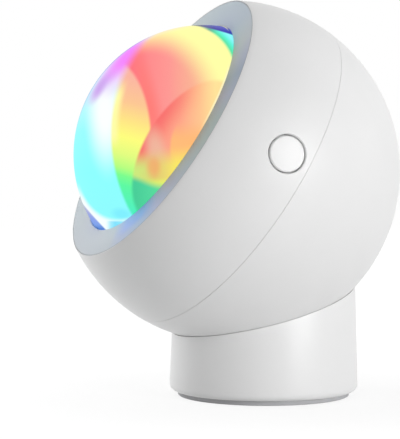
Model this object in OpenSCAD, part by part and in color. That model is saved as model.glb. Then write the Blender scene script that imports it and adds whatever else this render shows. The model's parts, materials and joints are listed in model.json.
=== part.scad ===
// Sunset projection lamp: a ball head with a domed lens, held by a magnet in the cupped top of a round base.
// Millimetres. The origin is the centre of the foot's underside, +Z is up, and the lens faces -Y.
// The head is drawn about the ball's centre with the lens axis along +Z, and then turned into place.

/* [Ball] */
// Outer diameter of the ball
ball_d = 96; // [94:0.5:102]
// Wall of the two ball shells
shell_wall = 2; // [1.8:0.1:2.3]
// Angle of the lens axis above level, at rest
lens_tilt = 30.4; // [0:0.2:60]
// Open line between the two shells
seam_gap = 0.3; // [0.2:0.05:0.5]
// Height of the front shell's tongue inside the rear shell
tongue_h = 2.2; // [1.5:0.1:3]

/* [Front ring and lens] */
// Distance of the flat front from the ball's centre
front_z = 24.6; // [24:0.1:26]
// Width of the flat front, from the opening to the ball's surface
front_w = 8.2; // [8:0.1:9]
// Width of the front shell's edge that shows round the front ring
rim_edge = 0.9; // [0.7:0.1:1.1]
// Thickness of the front ring
ring_t = 1.6; // [1.4:0.1:2]
// Thickness of the lip that holds the lens
lip_t = 1.6; // [1.4:0.1:2]
// Height of the dome over the front ring
dome_rise = 20.6; // [18:0.2:21]
// Thickness of the lens flange
flange_t = 4; // [3:0.5:5]
// How far the lens flange reaches past the opening
flange_reach = 2.5; // [2:0.1:3]
// Gap between the dome and the opening
lens_gap = 0.3; // [0.2:0.05:0.5]
// Thickness of the lens gasket
gasket_t = 0.6; // [0.4:0.1:0.8]
// Thickness of the colour filter
filter_t = 0.8; // [0.5:0.1:1.2]
// Wall of the sleeve behind the front ring
sleeve_wall = 3.2; // [3:0.1:3.5]
// Thickness of the lens retainer's plate
retainer_t = 1.7; // [1.4:0.1:2.2]

/* [Light source] */
// Diameter of the LED board
led_board_d = 24; // [22:0.5:26]
// Thickness of the LED board
led_board_t = 1.6; // [1:0.1:2]
// Width of the square LED package
led_w = 5; // [3:0.5:6]
// Mouth of the light cup at the LED
cup_throat_d = 8.4; // [7.5:0.1:9.5]
// Wall of the light cup
cup_wall = 1.2; // [1:0.1:1.6]
// Diameter of the heat sink
sink_d = 40; // [38:0.5:42]
// Height of the heat sink's fins
fin_h = 8; // [5:0.5:9]
// Number of fins
fin_count = 7; // [5:2:9]

/* [Electronics] */
// Thickness of the chassis plate
chassis_t = 2; // [1.6:0.1:2.5]
// Length of the posts that carry the main board
post_h = 14; // [13:0.5:16]
// Main board's margin round its screws
board_margin = 4.5; // [4:0.1:6]
// Thickness of the main board and the small boards
board_t = 1.6; // [1:0.1:1.8]
// Battery length
battery_l = 44; // [40:0.5:46]
// Battery width
battery_w = 34; // [30:0.5:35]
// Battery thickness
battery_t = 8; // [6:0.5:9]
// Wall of the battery tray
tray_wall = 1.3; // [1:0.1:1.6]
// Diameter of the insulated leads
lead_d = 1.2; // [1:0.1:1.4]

/* [Button and socket] */
// Diameter of the button
button_d = 9.2; // [8:0.1:10.5]
// Gap round the button
button_gap = 0.35; // [0.25:0.05:0.5]
// Bevel on the edges of the button and its hole
button_bevel = 0.3; // [0.1:0.05:0.4]
// Angle of the button and of the charging socket in front of the seam
side_lift = 8; // [7.6:0.1:9]
// How far the button can be pushed
button_travel = 0.5; // [0.3:0.05:0.6]
// Width of the square switch housing
switch_w = 6; // [5:0.5:6.5]
// Height of the switch housing
switch_h = 3.4; // [3:0.1:3.8]
// Width of the charging socket
socket_w = 9; // [8.9:0.1:9.4]
// Height of the charging socket
socket_h = 3.2; // [3.1:0.05:3.4]
// Depth of the charging socket
socket_l = 7.4; // [6.8:0.1:8]

/* [Base] */
// Diameter of the base at the bottom
base_d = 53.6; // [52:0.2:56]
// Draft of the base wall
base_draft = 0.8; // [0.3:0.1:1.2]
// Rounding of the bottom edge
base_round = 2; // [1:0.1:2.4]
// Wall of the base
base_wall = 3.2; // [3:0.1:3.6]
// How far the ball's centre stands in front of the base axis
ball_offset = 11; // [10:0.2:11.6]
// Height of the ball's lowest point over the table
ball_rise = 15.3; // [15:0.1:17]
// Gap between the ball and its seat
seat_gap = 0.3; // [0.25:0.05:0.45]
// Thickness of the seat
seat_t = 1.8; // [1.6:0.1:2.2]
// Diameter of the friction ring, at the middle of its width
grip_d = 24; // [23.6:0.1:24.6]
// Width of the friction ring
grip_w = 2.3; // [1.8:0.1:2.4]
// Diameter of the magnet
magnet_d = 16; // [14:0.5:16.5]
// Height of the magnet
magnet_h = 3.6; // [3:0.1:4]
// Base plate thickness
plate_t = 2.2; // [1.8:0.1:2.4]
// Foot pad thickness
foot_t = 1.3; // [1:0.1:1.6]
// Height of the ballast's rear wall over the table
ballast_top = 23; // [18:0.5:24]

/* [Hidden] */
$fn = 96;

// Clearances
fit = 0.1;           // between two pieces that are pushed together
slack = 0.2;         // between pieces that are laid in
screw_fit = 0.05;    // between a screw and its pilot hole
cut = 0.5;           // how far a cutting shape runs past what it cuts

// Screws: M2, for plastic
screw_r = 1;
screw_head_r = 1.8;
screw_head_h = 1.2;
pilot_r = screw_r + screw_fit;
screw_hole_r = screw_r + slack;
thread_l = 4.5;
boss_r = 2.6;

// Ball and its frame
ball_r = ball_d / 2;
inner_r = ball_r - shell_wall;
ball_z = ball_r + ball_rise;
tongue_wall = (shell_wall - fit) / 2;
tongue_r = inner_r + tongue_wall;

// Front ring, lens and what holds it, from the front to the back
face_z = front_z;
rim_r = sqrt(ball_r ^ 2 - face_z ^ 2);
rim_bevel = 0.3;
opening_r = rim_r - front_w;
ring_r = rim_r - rim_edge;
ring_seat_z = face_z - ring_t;
aperture_r = opening_r - lens_gap;
dome_r = (aperture_r ^ 2 + dome_rise ^ 2) / (2 * dome_rise);
dome_z = face_z + dome_rise - dome_r;
flange_r = opening_r + flange_reach;
flange_z = face_z - lip_t - gasket_t;
lens_z = flange_z - flange_t;
filter_z = lens_z - filter_t;
sleeve_in_r = flange_r + slack;
sleeve_r = sleeve_in_r + sleeve_wall;
spigot_h = 2.2;          // from the filter to the sleeve's end
clamp_z = filter_z - spigot_h;
skirt_bore_r = sleeve_r + fit;
skirt_wall = 1.8;
skirt_r = skirt_bore_r + skirt_wall;
retainer_z = clamp_z - retainer_t;
retainer_inset = 3;      // of the retainer's bore behind the opening
retainer_bore_r = opening_r - retainer_inset;
retainer_screw_r = sleeve_in_r + sleeve_wall / 2;

// Chassis, light source and boards
chassis_z = -1;
chassis_back_z = chassis_z - chassis_t;
chassis_r = inner_r - 1.6;
chassis_boss_r = inner_r - 5.2;
chassis_boss_h = retainer_z - chassis_z - 1;
chassis_boss_angles = [90, 210, 330];
led_front_z = chassis_back_z + led_board_t;
led_h = 1;
led_dome_r = led_w * 0.42;
led_screw_x = led_board_d / 2 - screw_head_r - 0.3;
sink_base_t = 3;
sink_screw_r = (led_board_d / 2 + sink_d / 2) / 2;
cup_z = led_front_z;
cup_throat_r = cup_throat_d / 2;
cup_mouth_r = retainer_bore_r - cup_wall - slack;
cup_flange_w = 2;
cup_flange_t = 1.2;
fin_t = 1.2;
main_board_z = chassis_back_z - post_h;
tray_l = battery_l + 2 * (slack + tray_wall);
tray_w = battery_w + 2 * (slack + tray_wall);
post_angle = 30;
post_angles = [post_angle, 180 - post_angle, 270];
post_gap = 1.1;          // between the tray and the heads of its screws
post_circle_r = (tray_l / 2 + screw_head_r + post_gap) / cos(post_angle);
board_r = post_circle_r + board_margin;
post_r = boss_r;
lead_slot = [6, 5];
lead_pitch = lead_d * 2;
led_socket_y = 24.5;
side_socket_x = 31;
wire_socket = [6, 4, 3];
chip_w = 7;
chip_at = [-14, -sink_d / 2 - chip_w];
coil_w = 7;
coil_at = [14, -sink_d / 2 - 2];

// Battery and tray, behind the main board
tray_floor_t = 1.6;
tray_z = main_board_z - board_t;
battery_proud = 1.5;     // of the tray's walls
tray_depth = battery_t - battery_proud;
battery_z = tray_z - tray_floor_t;
battery_corner_r = 2;
tray_margin = 3.6;       // of the tray's plate round its screws
tray_plate_r = post_circle_r + tray_margin;

// Button, switch and charging socket, measured from the ball's centre along their own axis
button_r = button_d / 2;
button_hole_r = button_r + button_gap;
button_flange_w = 0.9;   // how far it reaches behind the shell
button_flange_r = button_hole_r + button_flange_w;
button_flange_t = 0.8;
button_flange_s = sqrt(inner_r ^ 2 - button_flange_r ^ 2) - slack;
button_stem_r = 1.6;
plunger_r = 1.6;
plunger_out = 0.7;
stem_l = 2;
plunger_top_s = button_flange_s - button_flange_t - stem_l;
switch_top_s = plunger_top_s - plunger_out;
switch_z = switch_top_s - switch_h;
plunger_l = 1.6;
side_boss_r = 2.1;
side_screw_y = button_flange_r + side_boss_r + slack;
side_board = [11, 2 * (side_screw_y + side_boss_r)];
socket_s = inner_r - socket_l + slack;
socket_wall = 0.3;
socket_rail_t = 2.4;
socket_rail_w = 3;
socket_rail_gap = 2.2;   // from the socket's side to the middle of a rail
socket_rail_y = socket_w / 2 + socket_rail_gap;
socket_board_half_w = socket_rail_y + socket_rail_w / 2;
socket_tail = 1.5;       // of the board behind the socket
socket_board_back_s = socket_s - socket_tail;
socket_board_front_s = sqrt(inner_r ^ 2 - socket_board_half_w ^ 2 - (socket_h / 2 + board_t) ^ 2) - slack;
socket_screw_s = (socket_board_back_s + socket_board_front_s) / 2;

// Steel cap inside the rear shell
keeper_t = 1;
keeper_r = inner_r - slack;
keeper_edge_angle = 5;
keeper_edge_z = -keeper_r * sin(keeper_edge_angle);

// Base
base_r = base_d / 2;
seat_r = ball_r + seat_gap;
seat_under_r = seat_r + seat_t;
cavity_r = base_r - base_wall;
grip_r = grip_d / 2;
grip_depth = 0.9;
grip_proud = 0.15;
magnet_r = magnet_d / 2;
cup_side_t = 1.2;
cup_floor_t = 1.2;
magnet_cup_r = magnet_r + fit + cup_side_t;
magnet_cover_t = 1;
magnet_top_z = ball_rise - seat_gap - magnet_cover_t;
magnet_cup_z = magnet_top_z - magnet_h - cup_floor_t;
collar_wall = 1;
collar_z = magnet_cup_z + 1.4; // the magnet's cup stands out of its collar for gluing
collar_r = magnet_cup_r + slack + collar_wall;
plate_z = foot_t + plate_t;
plate_boss_r = 2.6;
plate_boss_gap = 0.4;    // between a boss and the wall, bridged by its rib
plate_screw_r = cavity_r - plate_boss_r - plate_boss_gap;
plate_screw_angles = [90, 200, 340];
foot_inset = 0.4;        // of the foot pad from the rounded edge
foot_r = base_r - base_round - foot_inset;

// ---------------------------------------------------------------- helpers

// Turns the head's own frame, with the lens axis along +Z, into its place on the base.
module in_head() {
    translate([0, -ball_offset, ball_z]) rotate([90 - lens_tilt, 0, 0]) children();
}

// Child's +Z runs out through the button on the +X side.
module at_button() {
    rotate([0, 90 - side_lift, 0]) children();
}

// Child's +Z runs out through the charging socket on the -X side.
module at_socket() {
    mirror([1, 0, 0]) at_button() children();
}

module around(angles, r) {
    for (a = angles) rotate([0, 0, a]) translate([r, 0, 0]) children();
}

module tube(r_out, r_in, h) {
    difference() {
        cylinder(r = r_out, h = h);
        translate([0, 0, -cut]) cylinder(r = r_in, h = h + 2 * cut);
    }
}

// Cuts a bevel off the edge of a round hole at height z.
module inner_bevel(r, z, bevel) {
    rotate_extrude() polygon([
        [r + bevel, z],
        [r - cut, z - bevel - cut],
        [r - cut, z + cut],
        [r + bevel, z + cut]
    ]);
}

// A block centred on the axis, with its corners rounded in plan.
module rounded_block(size, r) {
    x = size[0];
    y = size[1];
    translate([-x / 2 + r, -y / 2, 0]) cube([x - 2 * r, y, size[2]]);
    translate([-x / 2, -y / 2 + r, 0]) cube([x, y - 2 * r, size[2]]);
    for (sx = [-1, 1], sy = [-1, 1])
        translate([sx * (x / 2 - r), sy * (y / 2 - r), 0]) cylinder(r = r, h = size[2], $fn = 32);
}

// A screw along +Z, with the underside of its head at z = 0.
module screw(length) {
    translate([0, 0, -screw_head_h]) cylinder(r = screw_head_r, h = screw_head_h, $fn = 32);
    cylinder(r = screw_r, h = length, $fn = 32);
}

function arc(centre, r, from, to, steps) =
    [for (i = [0:steps]) let (a = from + (to - from) * i / steps) centre + r * [cos(a), sin(a)]];

// A round lead along a list of points in one plane, with its ends square to its first and last run.
// across is the direction square to that plane.
module lead(points, r, across) {
    sides = 8;
    n = len(points);
    function along(i) =
        let (d = points[min(i + 1, n - 1)] - points[max(i - 1, 0)]) d / norm(d);
    function ring(i) =
        let (
            t = along(i),
            v = cross(t, across)
        )
        [for (k = [0:sides - 1]) points[i] + r * (cos(360 * k / sides) * across + sin(360 * k / sides) * v)];
    verts = [for (i = [0:n - 1]) each ring(i)];
    skin = [
        for (i = [0:n - 2], k = [0:sides - 1])
            let (a = i * sides + k, b = i * sides + (k + 1) % sides)
                each [[a, a + sides, b], [b, a + sides, b + sides]]
    ];
    first = [for (k = [0:sides - 1]) k];
    last = [for (k = [sides - 1:-1:0]) (n - 1) * sides + k];
    polyhedron(points = verts, faces = concat(skin, [first, last]), convexity = 4);
}

// Two leads side by side, a pitch apart along across.
module lead_pair(points, across) {
    for (s = [-1, 1])
        lead([for (p = points) p + across * s * lead_pitch / 2], lead_d / 2, across);
}

// ---------------------------------------------------------------- ball

module front_shell() {
    color("whitesmoke") difference() {
        union() {
            difference() {
                intersection() {
                    sphere(r = ball_r, $fn = 160);
                    cylinder(r = ball_r + cut, h = face_z);
                }
                sphere(r = inner_r, $fn = 160);
            }
            // skirt that guides the sleeve of the front ring
            intersection() {
                translate([0, 0, clamp_z]) cylinder(r = skirt_r, h = ring_seat_z - clamp_z);
                sphere(r = ball_r - shell_wall / 2, $fn = 160);
            }
            // tongue that enters the rear shell
            translate([0, 0, -tongue_h]) tube(tongue_r, inner_r, tongue_h + shell_wall);
            // bosses for the chassis
            intersection() {
                around(chassis_boss_angles, chassis_boss_r) translate([0, 0, chassis_z]) {
                    cylinder(r = boss_r, h = chassis_boss_h);
                    translate([0, -boss_r / 2, 0]) cube([ball_r, boss_r, chassis_boss_h]);
                }
                translate([0, 0, -cut - 1]) cylinder(r = tongue_r - tongue_wall / 2, h = ball_r);
                sphere(r = ball_r - shell_wall / 2, $fn = 160);
            }
            // bosses for the switch board
            intersection() {
                at_button() for (s = [-1, 1])
                    translate([0, s * side_screw_y, switch_z]) cylinder(r = side_boss_r, h = ball_r);
                sphere(r = ball_r - shell_wall / 2, $fn = 160);
            }
            // rails for the socket board
            intersection() {
                at_socket() for (s = [-1, 1])
                    translate([
                        socket_h / 2 + board_t,
                        s * socket_rail_y - socket_rail_w / 2,
                        socket_board_back_s
                    ]) cube([socket_rail_t, socket_rail_w, ball_r]);
                sphere(r = ball_r - shell_wall / 2, $fn = 160);
            }
        }
        translate([0, 0, clamp_z - cut]) cylinder(r = skirt_bore_r, h = ball_r);
        translate([0, 0, ring_seat_z]) cylinder(r = ring_r + fit, h = ring_t + cut);
        rim_bevel_cut();
        around(chassis_boss_angles, chassis_boss_r)
            translate([0, 0, chassis_z - cut]) cylinder(r = pilot_r, h = thread_l + 2 * cut, $fn = 32);
        at_button() {
            translate([0, 0, button_flange_s]) cylinder(r = button_hole_r, h = ball_r, $fn = 64);
            inner_bevel(button_hole_r, sqrt(ball_r ^ 2 - button_hole_r ^ 2), button_bevel);
            for (s = [-1, 1])
                translate([0, s * side_screw_y, switch_z - cut])
                    cylinder(r = pilot_r, h = thread_l + 2 * cut, $fn = 32);
        }
        at_socket() {
            translate([0, 0, socket_s]) socket_outline(fit, ball_r);
            for (s = [-1, 1])
                translate([socket_h / 2 + board_t - cut, s * socket_rail_y, socket_screw_s])
                    rotate([0, 90, 0]) cylinder(r = pilot_r, h = socket_rail_t, $fn = 32);
        }
    }
}

// Takes the sharp corner off the edge between the ball and its flat front.
module rim_bevel_cut() {
    side = [face_z, -rim_r] * rim_bevel / ball_r;
    rotate_extrude($fn = 160) polygon([
        [rim_r - rim_bevel, face_z],
        [rim_r + side[0], face_z + side[1]],
        [rim_r + 1, face_z + side[1]],
        [rim_r + 1, face_z + cut],
        [rim_r - rim_bevel, face_z + cut]
    ]);
}

module rear_shell() {
    color("whitesmoke") difference() {
        sphere(r = ball_r, $fn = 160);
        sphere(r = inner_r, $fn = 160);
        translate([0, 0, -seam_gap]) cylinder(r = ball_r + cut, h = ball_r + cut);
        translate([0, 0, -tongue_h - slack]) cylinder(r = tongue_r + fit, h = tongue_h + slack);
    }
}

// Outline of the front ring and its sleeve: [radius, height].
function bezel_outline() =
    let (edge_round = 0.3)
    concat(
        [[ring_r, ring_seat_z]],
        arc([ring_r - edge_round, face_z - edge_round], edge_round, 0, 90, 4),
        arc([opening_r + edge_round, face_z - edge_round], edge_round, 90, 180, 4),
        [
            [opening_r, face_z - lip_t],
            [sleeve_in_r, face_z - lip_t],
            [sleeve_in_r, clamp_z],
            [sleeve_r, clamp_z],
            [sleeve_r, ring_seat_z]
        ]
    );

retainer_screw_angles = [45, 135, 225, 315];

module bezel_ring() {
    color("lightsteelblue") difference() {
        rotate_extrude($fn = 160) polygon(bezel_outline());
        around(retainer_screw_angles, retainer_screw_r)
            translate([0, 0, clamp_z - cut]) cylinder(r = pilot_r, h = thread_l + 2 * cut, $fn = 32);
    }
}

module lens() {
    color("lightcyan") union() {
        intersection() {
            translate([0, 0, dome_z]) sphere(r = dome_r, $fn = 160);
            translate([0, 0, flange_z - cut]) cylinder(r = aperture_r, h = ball_r, $fn = 160);
        }
        translate([0, 0, lens_z]) cylinder(r = flange_r, h = flange_t, $fn = 160);
    }
}

module lens_gasket() {
    color("dimgray") translate([0, 0, flange_z]) tube(flange_r, opening_r + slack, gasket_t);
}

module colour_filter() {
    color("orange") translate([0, 0, filter_z]) cylinder(r = flange_r - slack, h = filter_t);
}

module lens_retainer() {
    color("silver") difference() {
        union() {
            translate([0, 0, retainer_z]) cylinder(r = skirt_r - slack, h = retainer_t);
            translate([0, 0, retainer_z]) cylinder(r = sleeve_in_r - slack, h = filter_z - retainer_z);
        }
        translate([0, 0, retainer_z - cut])
            cylinder(r = retainer_bore_r, h = filter_z - retainer_z + 2 * cut);
        around(retainer_screw_angles, retainer_screw_r)
            translate([0, 0, retainer_z - cut])
                cylinder(r = screw_hole_r, h = retainer_t + 2 * cut, $fn = 32);
    }
}

module retainer_screws() {
    color("gray") around(retainer_screw_angles, retainer_screw_r)
        translate([0, 0, retainer_z]) screw(retainer_t + thread_l);
}

// ---------------------------------------------------------------- light source

module light_cup() {
    mouth_z = retainer_z;
    color("gainsboro") rotate_extrude($fn = 96) polygon([
        [cup_throat_r, cup_z],
        [cup_throat_r + cup_wall, cup_z],
        [cup_mouth_r + cup_wall, mouth_z - cup_flange_t],
        [cup_mouth_r + cup_wall + cup_flange_w, mouth_z - cup_flange_t],
        [cup_mouth_r + cup_wall + cup_flange_w, mouth_z],
        [cup_mouth_r, mouth_z]
    ]);
}

module led_board() {
    color("white") difference() {
        translate([0, 0, chassis_back_z]) cylinder(r = led_board_d / 2, h = led_board_t);
        for (s = [-1, 1])
            translate([s * led_screw_x, 0, chassis_back_z - cut])
                cylinder(r = screw_hole_r, h = led_board_t + 2 * cut, $fn = 32);
    }
}

module led_emitter() {
    color("gold") translate([0, 0, led_front_z]) {
        translate([-led_w / 2, -led_w / 2, 0]) cube([led_w, led_w, led_h]);
        intersection() {
            translate([0, 0, led_h]) sphere(r = led_dome_r, $fn = 48);
            translate([0, 0, led_h / 2]) cylinder(r = led_dome_r + cut, h = led_w);
        }
    }
}

module led_screws() {
    color("gray") for (s = [-1, 1])
        translate([s * led_screw_x, 0, led_front_z]) mirror([0, 0, 1])
            screw(led_board_t + sink_base_t - cut);
}

sink_screw_angles = [30, 150, 270];

module heat_sink() {
    color("silver") difference() {
        union() {
            translate([0, 0, chassis_back_z - sink_base_t]) cylinder(r = sink_d / 2, h = sink_base_t);
            intersection() {
                translate([0, 0, chassis_back_z - sink_base_t - fin_h])
                    cylinder(r = sink_d / 2, h = fin_h + cut);
                for (i = [0:fin_count - 1])
                    translate([
                        -sink_d / 2,
                        (i - (fin_count - 1) / 2) * (sink_d - 4 * fin_t) / (fin_count - 1) - fin_t / 2,
                        chassis_back_z - sink_base_t - fin_h
                    ]) cube([sink_d, fin_t, fin_h + cut]);
            }
        }
        for (s = [-1, 1])
            translate([s * led_screw_x, 0, chassis_back_z - sink_base_t + cut / 2])
                cylinder(r = pilot_r, h = sink_base_t + cut, $fn = 32);
        around(sink_screw_angles, sink_screw_r)
            translate([0, 0, chassis_back_z - sink_base_t + cut / 2])
                cylinder(r = pilot_r, h = sink_base_t + cut, $fn = 32);
    }
}

module heat_sink_screws() {
    color("gray") around(sink_screw_angles, sink_screw_r)
        translate([0, 0, chassis_z]) mirror([0, 0, 1]) screw(chassis_t + sink_base_t - cut);
}

// ---------------------------------------------------------------- chassis and boards

module chassis() {
    color("slategray") difference() {
        union() {
            translate([0, 0, chassis_back_z]) cylinder(r = chassis_r, h = chassis_t);
            around(post_angles, post_circle_r)
                translate([0, 0, main_board_z]) cylinder(r = post_r, h = post_h + chassis_t / 2);
        }
        translate([0, 0, chassis_back_z - cut])
            cylinder(r = led_board_d / 2 + slack, h = chassis_t + 2 * cut);
        around(chassis_boss_angles, chassis_boss_r)
            translate([0, 0, chassis_back_z - cut])
                cylinder(r = screw_hole_r, h = chassis_t + 2 * cut, $fn = 32);
        around(sink_screw_angles, sink_screw_r)
            translate([0, 0, chassis_back_z - cut])
                cylinder(r = screw_hole_r, h = chassis_t + 2 * cut, $fn = 32);
        around(post_angles, post_circle_r)
            translate([0, 0, main_board_z - cut]) cylinder(r = pilot_r, h = thread_l + 2 * cut, $fn = 32);
        // slots for the leads
        translate([-lead_slot[0] / 2, led_socket_y - lead_slot[1] / 2, chassis_back_z - cut])
            cube([lead_slot[0], lead_slot[1], chassis_t + 2 * cut]);
        for (s = [-1, 1])
            translate([s * side_socket_x - lead_slot[1] / 2, -lead_slot[0] / 2, chassis_back_z - cut])
                cube([lead_slot[1], lead_slot[0], chassis_t + 2 * cut]);
    }
}

module chassis_screws() {
    color("gray") around(chassis_boss_angles, chassis_boss_r)
        translate([0, 0, chassis_back_z]) screw(chassis_t + thread_l);
}

module main_board() {
    color("seagreen") difference() {
        translate([0, 0, main_board_z - board_t]) cylinder(r = board_r, h = board_t);
        around(post_angles, post_circle_r)
            translate([0, 0, main_board_z - board_t - cut])
                cylinder(r = screw_hole_r, h = board_t + 2 * cut, $fn = 32);
    }
}

module controller_chip() {
    color("black") translate([chip_at[0], chip_at[1], main_board_z]) cube([chip_w, chip_w, 1]);
}

module driver_coil() {
    color("dimgray") translate([coil_at[0], coil_at[1], main_board_z]) {
        rounded_block([coil_w, coil_w, 1], 1);
        cylinder(r = coil_w / 2 - 0.5, h = 2.8, $fn = 48);
    }
}

// Sockets for the LED, the switch, the charging socket and the battery.
module wire_sockets() {
    color("ivory") {
        translate([0, led_socket_y, main_board_z]) socket_block();
        for (s = [-1, 1])
            translate([s * side_socket_x, 0, main_board_z]) rotate([0, 0, 90]) socket_block();
        translate([battery_socket_x, 0, tray_z]) mirror([0, 0, 1]) rotate([0, 0, 90]) socket_block();
    }
}

module socket_block() {
    translate([-wire_socket[0] / 2, -wire_socket[1] / 2, 0]) cube(wire_socket);
}

module board_screws() {
    color("gray") around(post_angles, post_circle_r)
        translate([0, 0, tray_z - tray_floor_t]) screw(tray_floor_t + board_t + thread_l);
}

// ---------------------------------------------------------------- battery

module battery_tray() {
    wall_z = tray_z - tray_floor_t - tray_depth;
    color("slategray") difference() {
        union() {
            translate([0, 0, wall_z])
                rounded_block([tray_l, tray_w, tray_depth + cut], battery_corner_r + tray_wall);
            translate([0, 0, tray_z - tray_floor_t]) cylinder(r = tray_plate_r, h = tray_floor_t);
        }
        translate([0, 0, wall_z - cut])
            rounded_block([battery_l + 2 * slack, battery_w + 2 * slack, tray_depth + cut], battery_corner_r);
        around(post_angles, post_circle_r)
            translate([0, 0, tray_z - tray_floor_t - cut])
                cylinder(r = screw_hole_r, h = tray_floor_t + 2 * cut, $fn = 32);
        // notch for the battery leads, and room for their socket
        translate([battery_l / 2 - cut, -lead_slot[0] / 2, wall_z - cut])
            cube([tray_wall + 3 * cut, lead_slot[0], tray_depth + cut]);
        translate([battery_socket_x - wire_socket[1], -wire_socket[0], tray_z - tray_floor_t - cut])
            cube([tray_plate_r, 2 * wire_socket[0], tray_floor_t + 2 * cut]);
    }
}

module battery() {
    color("royalblue") translate([0, 0, battery_z - battery_t])
        rounded_block([battery_l, battery_w, battery_t], battery_corner_r);
}

// ---------------------------------------------------------------- leads

battery_socket_x = 30;

// From the end of the battery to its socket on the back of the main board.
module battery_leads() {
    mid_z = battery_z - battery_t / 2;
    socket_back_z = tray_z - wire_socket[2];
    color("crimson") lead_pair([
        [battery_l / 2, 0, mid_z],
        [battery_l / 2 + 2, 0, mid_z],
        [battery_socket_x - 3.5, 0, mid_z - 0.4],
        [battery_socket_x - 1.2, 0, mid_z],
        [battery_socket_x, 0, socket_back_z - 0.9],
        [battery_socket_x, 0, socket_back_z]
    ], [0, 1, 0]);
}

// From the LED board over the chassis, and through its slot to the main board.
module led_leads() {
    over_z = chassis_z + lead_d / 2 + 0.3;
    start_y = led_board_d / 2 - 1.6;
    color("crimson") lead_pair([
        [0, start_y, led_front_z + lead_d / 2],
        [0, start_y + 1.8, over_z - 0.1],
        [0, led_socket_y - 3.2, over_z],
        [0, led_socket_y - 1.2, over_z - 0.5],
        [0, led_socket_y - 0.3, over_z - 1.8],
        [0, led_socket_y, chassis_back_z - 1],
        [0, led_socket_y, chassis_back_z - 8],
        [0, led_socket_y, main_board_z + wire_socket[2]]
    ], [1, 0, 0]);
}

// From a small board in the side of the head, through the chassis to the main board.
function side_lead(start_x, start_z) = [
    [start_x, 0, start_z],
    [start_x - 1.5 * cos(side_lift), 0, start_z - 1.5 * sin(side_lift)],
    [side_socket_x + 0.6, 0, start_z - 1.6],
    [side_socket_x, 0, chassis_z + 1],
    [side_socket_x, 0, chassis_back_z - 1],
    [side_socket_x, 0, chassis_back_z - 7],
    [side_socket_x, 0, main_board_z + wire_socket[2]]
];

module switch_leads() {
    start_s = switch_z - board_t;
    color("crimson") lead_pair(
        side_lead(start_s * cos(side_lift), start_s * sin(side_lift)),
        [0, 1, 0]
    );
}

module socket_leads() {
    start_s = socket_board_back_s;
    drop = socket_h / 2 + board_t / 2;
    color("crimson") mirror([1, 0, 0]) lead_pair(
        side_lead(
            start_s * cos(side_lift) + drop * sin(side_lift),
            start_s * sin(side_lift) - drop * cos(side_lift)
        ),
        [0, 1, 0]
    );
}

// ---------------------------------------------------------------- button and charging socket

// Outline of the button with its flange and stem: [radius, height along the button's axis].
function button_outline() =
    let (edge_r = button_r - button_bevel, under_s = button_flange_s - button_flange_t)
    concat(
        [
            [0, plunger_top_s],
            [button_stem_r, plunger_top_s],
            [button_stem_r, under_s],
            [button_flange_r, under_s],
            [button_flange_r, button_flange_s],
            [button_r, button_flange_s],
            [button_r, sqrt(ball_r ^ 2 - edge_r ^ 2) - button_bevel]
        ],
        arc([0, 0], ball_r, acos(edge_r / ball_r), 90, 8)
    );

module button_cap() {
    color("white") at_button() rotate_extrude() polygon(button_outline());
}

module switch_plunger() {
    color("black") at_button()
        translate([0, 0, plunger_top_s - plunger_l]) cylinder(r = plunger_r, h = plunger_l, $fn = 32);
}

module tact_switch() {
    color("dimgray") at_button() difference() {
        translate([-switch_w / 2, -switch_w / 2, switch_z]) cube([switch_w, switch_w, switch_h]);
        translate([0, 0, plunger_top_s - plunger_l - button_travel - slack])
            cylinder(r = plunger_r + fit, h = ball_r, $fn = 32);
    }
}

module switch_board() {
    color("seagreen") at_button() difference() {
        translate([-side_board[0] / 2, -side_board[1] / 2, switch_z - board_t])
            cube([side_board[0], side_board[1], board_t]);
        for (s = [-1, 1])
            translate([0, s * side_screw_y, switch_z - board_t - cut])
                cylinder(r = screw_hole_r, h = board_t + 2 * cut, $fn = 32);
    }
}

module switch_screws() {
    color("gray") at_button() for (s = [-1, 1])
        translate([0, s * side_screw_y, switch_z - board_t]) screw(board_t + thread_l);
}

// The rounded outline of the charging socket, grown all round.
module socket_outline(grow, h) {
    r = socket_h / 2 + grow;
    half = (socket_w - socket_h) / 2;
    translate([-r, -half, 0]) cube([2 * r, 2 * half, h]);
    for (s = [-1, 1]) translate([0, s * half, 0]) cylinder(r = r, h = h, $fn = 32);
}

module charge_socket() {
    tongue = 0.7;
    color("silver") at_socket() translate([0, 0, socket_s]) {
        difference() {
            socket_outline(0, socket_l);
            translate([0, 0, 1.2]) socket_outline(-socket_wall, socket_l);
        }
        translate([-tongue / 2, -socket_w / 2 + 1.3, 1]) cube([tongue, socket_w - 2.6, socket_l - 2]);
    }
}

module socket_board() {
    color("seagreen") at_socket() difference() {
        translate([socket_h / 2, -socket_board_half_w, socket_board_back_s])
            cube([board_t, 2 * socket_board_half_w, socket_board_front_s - socket_board_back_s]);
        for (s = [-1, 1])
            translate([socket_h / 2 - cut, s * socket_rail_y, socket_screw_s])
                rotate([0, 90, 0]) cylinder(r = screw_hole_r, h = board_t + 2 * cut, $fn = 32);
    }
}

module socket_screws() {
    color("gray") at_socket() for (s = [-1, 1])
        translate([socket_h / 2, s * socket_rail_y, socket_screw_s])
            rotate([0, 90, 0]) screw(board_t + socket_rail_t - 2 * cut);
}

// ---------------------------------------------------------------- magnet side of the head

module keeper_cap() {
    color("darkgray") difference() {
        sphere(r = keeper_r, $fn = 160);
        sphere(r = keeper_r - keeper_t, $fn = 160);
        translate([0, 0, keeper_edge_z]) cylinder(r = ball_r, h = 2 * ball_r);
    }
}

// ---------------------------------------------------------------- base

function base_outline() =
    concat(
        [[0, foot_t]],
        arc([base_r - base_round, foot_t + base_round], base_round, -90, 0, 8),
        [[base_r - (ball_z - foot_t) * tan(base_draft), ball_z], [0, ball_z]]
    );

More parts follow.
